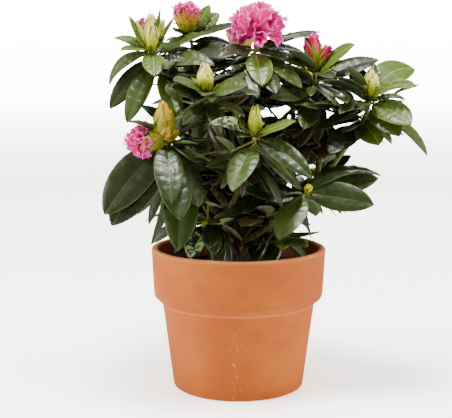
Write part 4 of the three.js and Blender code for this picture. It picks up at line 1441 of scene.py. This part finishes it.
def grow_finer(limbs, stems, crown, leaves, twigs):
    """Finer twigs with their leaves, then finer leaves on the stems, wherever there is room."""

    def take(leaf, mass):
        points, faces = leaf_sketch(leaf)
        if bars_opening(points) or not within_reach(points, mass) or not crown.clear(points, faces):
            return False
        crown.keep(points, faces)
        leaves.append(leaf)
        return True

    for name, mass in MASSES.items():
        draw = draws(mass["seed"] + 500)
        bough, stem = limbs[name], stems[name]
        for _ in range(FINER_TWIGS["tries"]):
            share = draw(*FINER_TWIGS["share"])
            root = up_the_shoot(bough, stem, share)
            away = heading(draw(0, 360), draw(*FINER_TWIGS["pitch"]))
            twig = make_twig(root, root + away * draw(*FINER_TWIGS["length"]), FINER_TWIGS["radius"])
            points, faces = limb_sketch(twig, steps=3)
            if bars_opening(points) or not within_reach(points, mass):
                continue
            if not crown.clear(points[6:], faces_from(faces, 6)):
                continue
            tone = "shade" if share < FINER_TWIGS["shaded_below"] else None
            grown = []
            for j in range(FINER_TWIGS["leaves"]):
                length = draw(*TWIG_LEAVES["length"])
                bearing = GOLDEN_ANGLE * j + draw(-25, 25)
                row = drawn_row(draw, 1 + 1.5 * j, bearing, length, TWIG_LEAVES)
                grown.append(take(leaf_from(twig, row, mass=name, tone=tone), mass))
            if any(grown):
                twigs.append(twig)
                crown.keep(points, faces)
        nearest, farthest = FINER_LEAVES["down"]
        for _ in range(FINER_LEAVES["tries"]):
            length = draw(*FINER_LEAVES["length"])
            down = draw(nearest, min(stem.length * 0.95, farthest))
            row = drawn_row(draw, down, draw(0, 360), length, FINER_LEAVES)
            tone = "shade" if down > FINER_LEAVES["shaded_under"] else None
            take(leaf_from(stem, row, mass=name, tone=tone), mass)


def grow_shade(limbs, stems, leaves):
    """Leaves in the dark heart of the crown, where no light passes. They may touch one another."""
    for name, mass in MASSES.items():
        draw = draws(mass["seed"] + 700)
        bough, stem = limbs[name], stems[name]
        for _ in range(SHADE_LEAVES["tries"]):
            share = draw(*SHADE_LEAVES["share"])
            length = draw(*SHADE_LEAVES["length"])
            row = drawn_row(draw, 0, draw(0, 360), length, SHADE_LEAVES)
            leaf = leaf_from(stem, row, mass=name, tone="shade")
            leaf["base"] = up_the_shoot(bough, stem, share)
            points, _ = leaf_sketch(leaf)
            if not all(in_shade(point) for point in points):
                continue
            if not bars_opening(points) and within_reach(points, mass):
                leaves.append(leaf)


def grow_bracts(stems, leaves):
    """The small narrow leaves round the buds of every stem with a large bud."""
    for name, mass in MASSES.items():
        if not mass["buds"] or mass["buds"][0][2] <= BRACTS["budded_from"]:
            continue
        draw = draws(mass["seed"] + 900)
        first_bearing = mass["buds"][0][0]
        for k in range(BRACTS["count"]):
            length = draw(*BRACTS["length"])
            bearing = first_bearing + GOLDEN_ANGLE * k + draw(-15, 15)
            pitch = draw(*BRACTS["pitch"])
            if math.cos(math.radians(bearing)) > 0.4:
                length, pitch = length * BRACTS["front_share"], pitch - BRACTS["front_lower"]
            row = [draw(1, 5), bearing, pitch, length, length * draw(*BRACTS["slender"]),
                   draw(*BRACTS["roll"]), draw(*BRACTS["bend"])]
            tone = "young" if draw(0, 1) < BRACTS["young"] else "fresh"
            leaf = leaf_from(stems[name], row, mass=name, tone=tone)
            if not bars_opening(leaf_sketch(leaf)[0]):
                leaves.append(leaf)


def grow_crown(limbs):
    """All stems, twigs and leaves. Leaves of the solids come first, then finer growth between them."""
    stems = {name: make_stem(limbs[name], mass["tip"]) for name, mass in MASSES.items()}
    crown = Crown()
    for limb in list(limbs.values()) + list(stems.values()):
        crown.keep(*limb_sketch(limb))
    leaves, twigs = grow_like_solids(stems, crown)
    keep_room_for_flowers(stems, crown)
    grow_finer(limbs, stems, crown, leaves, twigs)
    grow_shade(limbs, stems, leaves)
    grow_bracts(stems, leaves)
    return stems, twigs, leaves


def faces_from(faces, first):
    """The faces whose points all lie from `first` on, counted from there."""
    return [tuple(i - first for i in face) for face in faces if min(face) >= first]


def within_reach(points, mass):
    """Whether a sketch stays near its stem's tip, over the soil, clear of the rim and inside the box."""
    tip = Vector(mass["tip"])
    low, high = cad_box
    for point in points:
        if (point - tip).length > REACH or point.z < SOIL_TOP + OVER_SOIL:
            return False
        away = math.hypot(point.x, point.y)
        if point.z < POT_HEIGHT + OVER_RIM and away > POT_RIM - POT_WALL - INSIDE_RIM:
            return False
        if not all(l - PAST_BOX < p * MM < h + PAST_BOX for l, p, h in zip(low, point, high)):
            return False
    return True


def in_shade(point):
    """Whether a point lies in the dark heart of the crown."""
    across, back, high = ((p - c) / r for p, c, r in zip(point, SHADE_HEART, SHADE_REACH))
    return across * across + back * back + high * high < 1


# ---------------------------------------------------------------- the pieces

LIMBS = make_limbs()
STEMS, TWIGS, LEAVES = grow_crown(LIMBS)
PARTS_OF_CROWN = {
    "leaves_left": ("left", "upper_left", "top_left", "pot_left", "side_left", "inner_left"),
    "leaves_middle": ("top", "front_upper", "front", "middle", "inner_low", "pot_right"),
    "leaves_right": ("right", "top_right", "lower_right", "side_right", "low_back_right"),
    "leaves_back": ("back_left", "back_top", "back_right", "low_back_left", "low_back"),
}


# A leaf without a tone of its own draws one: the tone, and the draw below which it is taken.
DRAWN_TONES = (("dark", 0.36), ("deep", 0.74), ("mid", 0.96), ("fresh", 1.1))


def make_leaves():
    finishes = leaf_finishes()
    names = list(finishes)
    index = {name: i for i, name in enumerate(names)}
    draw = draws(4242)
    pieces = []
    for piece_name, members in PARTS_OF_CROWN.items():
        joined = Joined()
        for leaf in LEAVES:
            if leaf["mass"] not in members:
                continue
            tone = leaf.get("tone")
            if not tone:
                pick = draw(0, 1)
                tone = next(name for name, below in DRAWN_TONES if pick < below)
            bright = tone in ("young", "fresh")
            leaf["pale"] = index["pale"]
            tones = (index[tone], index["young rib" if bright else "rib"],
                     index["young rib" if bright else "rim"], index["fresh" if bright else "underside"],
                     index["stalk"])
            add_leaf(joined, leaf, tones, draw)
        piece = joined.build(piece_name, [finishes[name] for name in names])
        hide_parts(*[f"foliage_{name}" for name in members])
        pieces.append(piece)
    return pieces, finishes


def make_twigs(finish):
    joined = Joined()
    draw = draws(77)
    for limb in list(STEMS.values()) + TWIGS:
        points, faces = stem_tube(limb, draw)
        joined.add(points, faces, 0)
    piece = joined.build("twigs", [finish])
    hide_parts(*[f"foliage_{name}" for name in MASSES])
    return piece


OPEN_LENGTH = 0.66  # of an opened bud's scales, as a share of the closed bud's length
OPEN_RADIUS = 0.84


def bud_length(name, k, length):
    """How long a bud is, where it is not yet as long as its solid."""
    return length * (SHORTER_STEMS.get(name, 1.0) * SHORTER_BUDS.get((name, k), 1.0))


def make_buds(finishes):
    """Buds on every stem, closed, opening or open."""
    buds = Joined()
    draw = draws(909)
    for name, mass in MASSES.items():
        for k, (bearing, pitch, length, radius) in enumerate(mass["buds"]):
            opening = OPENING.get(name, {}).get(k, 0.0)
            tints = TINTS.get(name, (OLIVE, GREEN, CREAM))
            length = bud_length(name, k, length)
            if opening == 1:
                length, radius = length * OPEN_LENGTH, radius * OPEN_RADIUS
            add_bud(buds, STEMS[name].point(1), bearing, pitch, length, radius, opening, tints, draw)
    piece = buds.build("flower_buds", finishes)
    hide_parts(*[f"foliage_{name}" for name in MASSES])
    return piece


def cone_heading(bearing, pitch, lean, round_about):
    """A direction that leans off a heading by some degrees, turned round it."""
    along = heading(bearing, pitch)
    side = heading(bearing + 90, 0)
    return turned(turned(along, side, lean), along, round_about)


TRUSS_LEAN = 3  # degrees that the truss leans over more than its solid
TRUSS_SHARE = 0.97  # of the solid's length of floret
INNER_FLORETS = {"count": 17, "length": (29, 38), "mouth": (7.5, 9.5)}
OPEN_BUD_FLORETS = {"count": 26, "lean": (8, 92), "share": (0.43, 0.1), "mouth": 5.8, "with_stamens": 3}
PETAL_THICKNESS = 0.0003


def add_truss(petals, ruffle):
    """The open head on the topmost stem: its tiers of florets, with smaller ones between them."""
    draw = draws(TRUSS["seed"])
    stem = STEMS["top"]
    axis = turned(stem.tangent(1), np.array([0, 1.0, 0]), TRUSS["tilt"] + TRUSS_LEAN)
    base = stem.point(1) + axis * GAP
    centre = base + axis * TRUSS["seat"]
    seat = [base - axis * 2, base + axis * TRUSS["seat"] * 0.5, centre + axis * 2]
    points, faces = tube(seat, (2.4, 3.2, 2.0), 8)
    petals.add(points, faces, DEEP)
    outs = []
    for count, lean, length in TRUSS["tiers"]:
        for k in range(count):
            outs.append((360 * (k + 0.5) / count + lean + draw(-8, 8), 90 - lean + draw(-6, 6), length))
    for bearing, pitch, length in outs:
        add_floret(petals, centre, heading(bearing, pitch), length * TRUSS_SHARE, TRUSS["mouth"], ruffle)
    count = INNER_FLORETS["count"]
    for k in range(count):
        out = heading(GOLDEN_ANGLE * k + ruffle(-8, 8), 4 + 82 * (k / (count - 1)) ** 1.2)
        length, mouth = ruffle(*INNER_FLORETS["length"]), ruffle(*INNER_FLORETS["mouth"])
        add_floret(petals, centre, out, length, mouth, ruffle, stamens=False)


def add_open_bud(petals, foot, bearing, pitch, length, ruffle):
    """A bud that is open: a round head of small florets, from straight out to a little below its sides."""
    heart = foot + heading(bearing, pitch) * length * 0.5
    first_lean, more_lean = OPEN_BUD_FLORETS["lean"]
    longest, shorter_by = OPEN_BUD_FLORETS["share"]
    count = OPEN_BUD_FLORETS["count"]
    for j in range(count):
        share = j / (count - 1)
        out = cone_heading(bearing, pitch, first_lean + more_lean * math.sqrt(share), GOLDEN_ANGLE * j)
        add_floret(petals, heart, out, length * (longest - shorter_by * share), OPEN_BUD_FLORETS["mouth"],
                   ruffle, stamens=j < OPEN_BUD_FLORETS["with_stamens"])


def add_opening_bud(petals, foot, bearing, pitch, length, radius, how_far, ruffle):
    """A bud that has begun to open: a few florets that push out between its scales."""
    root = foot + heading(bearing, pitch) * length * 0.35
    for j in range(3 if how_far < 0.5 else 4):
        out = heading(bearing + ruffle(-22, 22), pitch + ruffle(-14, 14))
        add_floret(petals, root, out, length * ruffle(0.55, 0.68), radius * (0.45 + 0.4 * how_far), ruffle,
                   stamens=j == 0)


def make_blossom(finishes):
    """The open head on the topmost stem, and the florets of the opening buds."""
    petals = Joined()
    ruffle = draws(31)
    add_truss(petals, ruffle)
    for name, opened in OPENING.items():
        for k, how_far in opened.items():
            bearing, pitch, length, radius = MASSES[name]["buds"][k]
            length = bud_length(name, k, length)
            foot = STEMS[name].point(1)
            if how_far == 1:
                add_open_bud(petals, foot, bearing, pitch, length, ruffle)
            else:
                add_opening_bud(petals, foot, bearing, pitch, length, radius, how_far, ruffle)
    piece = petals.build("blossom", finishes)
    apply_modifier(piece, "SOLIDIFY", thickness=PETAL_THICKNESS, offset=-1)
    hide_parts("blossom_top")
    return piece


CRUMBS = 900
CRUMB_REACH = 88
CRUMB_SIZE = (0.8, 2.4)


def make_crumbs(finishes):
    """Loose crumbs and bark chips on the soil."""
    joined = Joined()
    draw = draws(5)
    corners = [(1, 0, 0), (0, 1, 0), (-1, 0, 0), (0, -1, 0), (0, 0, 1), (0, 0, -1)]
    faces = [(0, 1, 4), (1, 2, 4), (2, 3, 4), (3, 0, 4), (1, 0, 5), (2, 1, 5), (3, 2, 5), (0, 3, 5)]
    for _ in range(CRUMBS):
        away, bearing = CRUMB_REACH * math.sqrt(draw(0.0, 1.0)), draw(0, 360)
        size = draw(*CRUMB_SIZE) * (1 if draw(0, 1) < 0.85 else 2.0)
        flat = (draw(0.6, 1.3), draw(0.6, 1.3), draw(0.3, 0.7))
        place = heading(bearing, 0) * away + np.array([0, 0, SOIL_TOP - 0.4 + size * 0.2])
        turn = draw(0, 360)
        points = []
        for corner in corners:
            out = np.array(corner) * flat * size * draw(0.7, 1.25)
            points.append(place + turned(out, np.array([0, 0, 1.0]), turn))
        joined.add(points, faces, 0 if draw(0, 1) < 0.8 else 1)
    piece = joined.build("soil_crumbs", finishes, smooth=False)
    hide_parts("soil")
    return piece


pot = make_pot()
pot.data.materials.append(terracotta())
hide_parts("pot")

soil = make_soil()
soil.data.materials.append(earth())
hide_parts("soil")

wood = make_wood(LIMBS)
wood.data.materials.clear()
wood.data.materials.append(bark())
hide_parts(*["trunk" if name == "trunk" else f"bough_{name}" for name in LIMBS])

leaf_pieces, leaf_looks = make_leaves()
twigs = make_twigs(plain_growth("green stem", (112, 112, 52), gloss=(0.5, 0.7), relief=0.5))
buds = make_buds([plain_growth(f"bud {name}", colour, gloss=(0.42, 0.56), glow=0.06)
                  for name, colour in BUD_TONES.items()])
blossom = make_blossom([
    plain_growth("petal throat", (240, 16, 148), gloss=(0.45, 0.6), glow=0.25),
    plain_growth("petal", (255, 34, 170), gloss=(0.45, 0.6), glow=0.25),
    plain_growth("petal edge", (255, 116, 206), gloss=(0.45, 0.6), glow=0.3),
    plain_growth("filament", (240, 110, 160), gloss=(0.4, 0.6)),
    plain_growth("anther", (72, 24, 40), gloss=(0.6, 0.8)),
])
crumbs = make_crumbs([
    plain_growth("dark crumb", (48, 35, 26), gloss=(0.8, 0.95), relief=0.8),
    plain_growth("bark chip", (104, 74, 50), gloss=(0.7, 0.9), relief=0.8),
])

for piece in [pot, soil, wood, twigs, buds, blossom, crumbs] + leaf_pieces:
    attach(piece, "root")

# A plain finish of its own for each solid that the pieces above stand for.
solid_looks = {
    "pot": pot.data.materials[0],
    "soil": soil.data.materials[0],
    "trunk": wood.data.materials[0],
    "bough": wood.data.materials[0],
    "foliage": leaf_looks["deep"],
    "blossom": blossom.data.materials[1],
}
for name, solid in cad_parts.items():
    solid.data.materials.clear()
    solid.data.materials.append(solid_looks[name.split("_")[0]])

# ---------------------------------------------------------------- floor, light and camera

FLOOR_SIZE = 24
FLOOR_COLOUR = (0.86, 0.855, 0.845, 1)
FLOOR_SEEN = (1.9, 1.89, 1.85, 1)
FLOOR_GLOW = (0.85, 14.0)  # under the plant and at the far edge
FLOOR_GLOW_COLOUR = (1, 0.995, 0.98, 1)
SKY_GLOW = (13.0, 17.0)  # at the floor's far edge and a little above it
SKY_RISE = (-0.04, 0.06)
SOFT_LIGHT = (1, 0.975, 0.92, 1)
SOFT_POWER = 0.34
WARM = (1, 0.985, 0.95)
PLAIN = (1, 1, 1)

# Name, place, what it points at, width, height, power and colour.
LIGHTS = (
    ("left light", (-1.6, -0.4, 0.8), (0, 0, 0.2), 0.7, 0.9, 34, WARM),
    ("right light", (1.65, -0.35, 0.8), (0, 0, 0.2), 0.7, 0.9, 29, WARM),
    ("top light", (0, -0.2, 1.85), (0, 0, 0.3), 0.5, 0.45, 40, PLAIN),
    ("upper left light", (-1.05, -0.1, 1.6), (0, 0, 0.35), 0.35, 0.35, 7, PLAIN),
    ("back light", (0.3, 1.7, 1.2), (0, 0, 0.3), 1.2, 0.9, 14, PLAIN),
)


def seen_white(tree, plain, white):
    """What the camera sees directly is near white; what lights the plant stays modest."""
    path = node(tree, "ShaderNodeLightPath")
    mix = node(tree, "ShaderNodeMixShader")
    tree.links.new(path.outputs["Is Camera Ray"], mix.inputs["Fac"])
    tree.links.new(plain, mix.inputs[1])
    tree.links.new(white, mix.inputs[2])
    return mix.outputs["Shader"]


def make_floor():
    only()
    bpy.ops.mesh.primitive_plane_add(size=FLOOR_SIZE, location=(0, 0, 0))
    floor = bpy.context.object
    floor.name = "floor"
    material, tree, shader = new_material("pale floor")
    shader.inputs["Base Color"].default_value = FLOOR_COLOUR
    shader.inputs["Roughness"].default_value = 0.7
    glow = node(tree, "ShaderNodeEmission")
    place = node(tree, "ShaderNodeTexCoord")
    away = node(tree, "ShaderNodeVectorMath", operation="LENGTH")
    tree.links.new(place.outputs["Object"], away.inputs[0])
    strength = ramp(tree, away.outputs["Value"], 0.0, FLOOR_SIZE / 2, *FLOOR_GLOW)
    tree.links.new(strength, glow.inputs["Strength"])
    glow.inputs["Color"].default_value = FLOOR_GLOW_COLOUR
    white = node(tree, "ShaderNodeBsdfDiffuse")
    white.inputs["Color"].default_value = FLOOR_SEEN
    lit = node(tree, "ShaderNodeAddShader")
    tree.links.new(white.outputs["BSDF"], lit.inputs[0])
    tree.links.new(glow.outputs["Emission"], lit.inputs[1])
    out = tree.nodes["Material Output"]
    tree.links.new(seen_white(tree, shader.outputs["BSDF"], lit.outputs["Shader"]), out.inputs["Surface"])
    floor.data.materials.append(material)


def soft_light(name, place, aim, width, height, power, colour):
    light = bpy.data.lights.new(name, "AREA")
    light.shape = "RECTANGLE"
    light.size, light.size_y = width, height
    light.energy = power
    light.color = colour
    lamp = bpy.data.objects.new(name, light)
    lamp.location = place
    lamp.rotation_euler = (Vector(aim) - Vector(place)).to_track_quat("-Z", "Y").to_euler()
    bpy.context.scene.collection.objects.link(lamp)


def make_world():
    world = bpy.data.worlds.new("studio")
    world.use_nodes = True
    tree = world.node_tree
    soft = tree.nodes["Background"]
    soft.inputs["Color"].default_value = SOFT_LIGHT
    soft.inputs["Strength"].default_value = SOFT_POWER
    bright = node(tree, "ShaderNodeBackground")
    bright.inputs["Color"].default_value = (1, 1, 0.995, 1)
    place = node(tree, "ShaderNodeTexCoord")
    parts = node(tree, "ShaderNodeSeparateXYZ")
    tree.links.new(place.outputs["Generated"], parts.inputs["Vector"])
    tree.links.new(ramp(tree, parts.outputs["Z"], *SKY_RISE, *SKY_GLOW), bright.inputs["Strength"])
    out = tree.nodes["World Output"]
    seen = seen_white(tree, soft.outputs["Background"], bright.outputs["Background"])
    tree.links.new(seen, out.inputs["Surface"])
    bpy.context.scene.world = world


make_floor()
make_world()
for light in LIGHTS:
    soft_light(*light)

camera_data = bpy.data.cameras.new("camera")
camera_data.sensor_width = CAMERA_SENSOR
camera_data.lens = CAMERA_LENS
camera = bpy.data.objects.new("camera", camera_data)
camera.location = CAMERA_PLACE
camera.rotation_euler = (math.radians(CAMERA_PITCH), 0, 0)
bpy.context.scene.collection.objects.link(camera)
bpy.context.scene.camera = camera

bpy.context.view_layer.update()
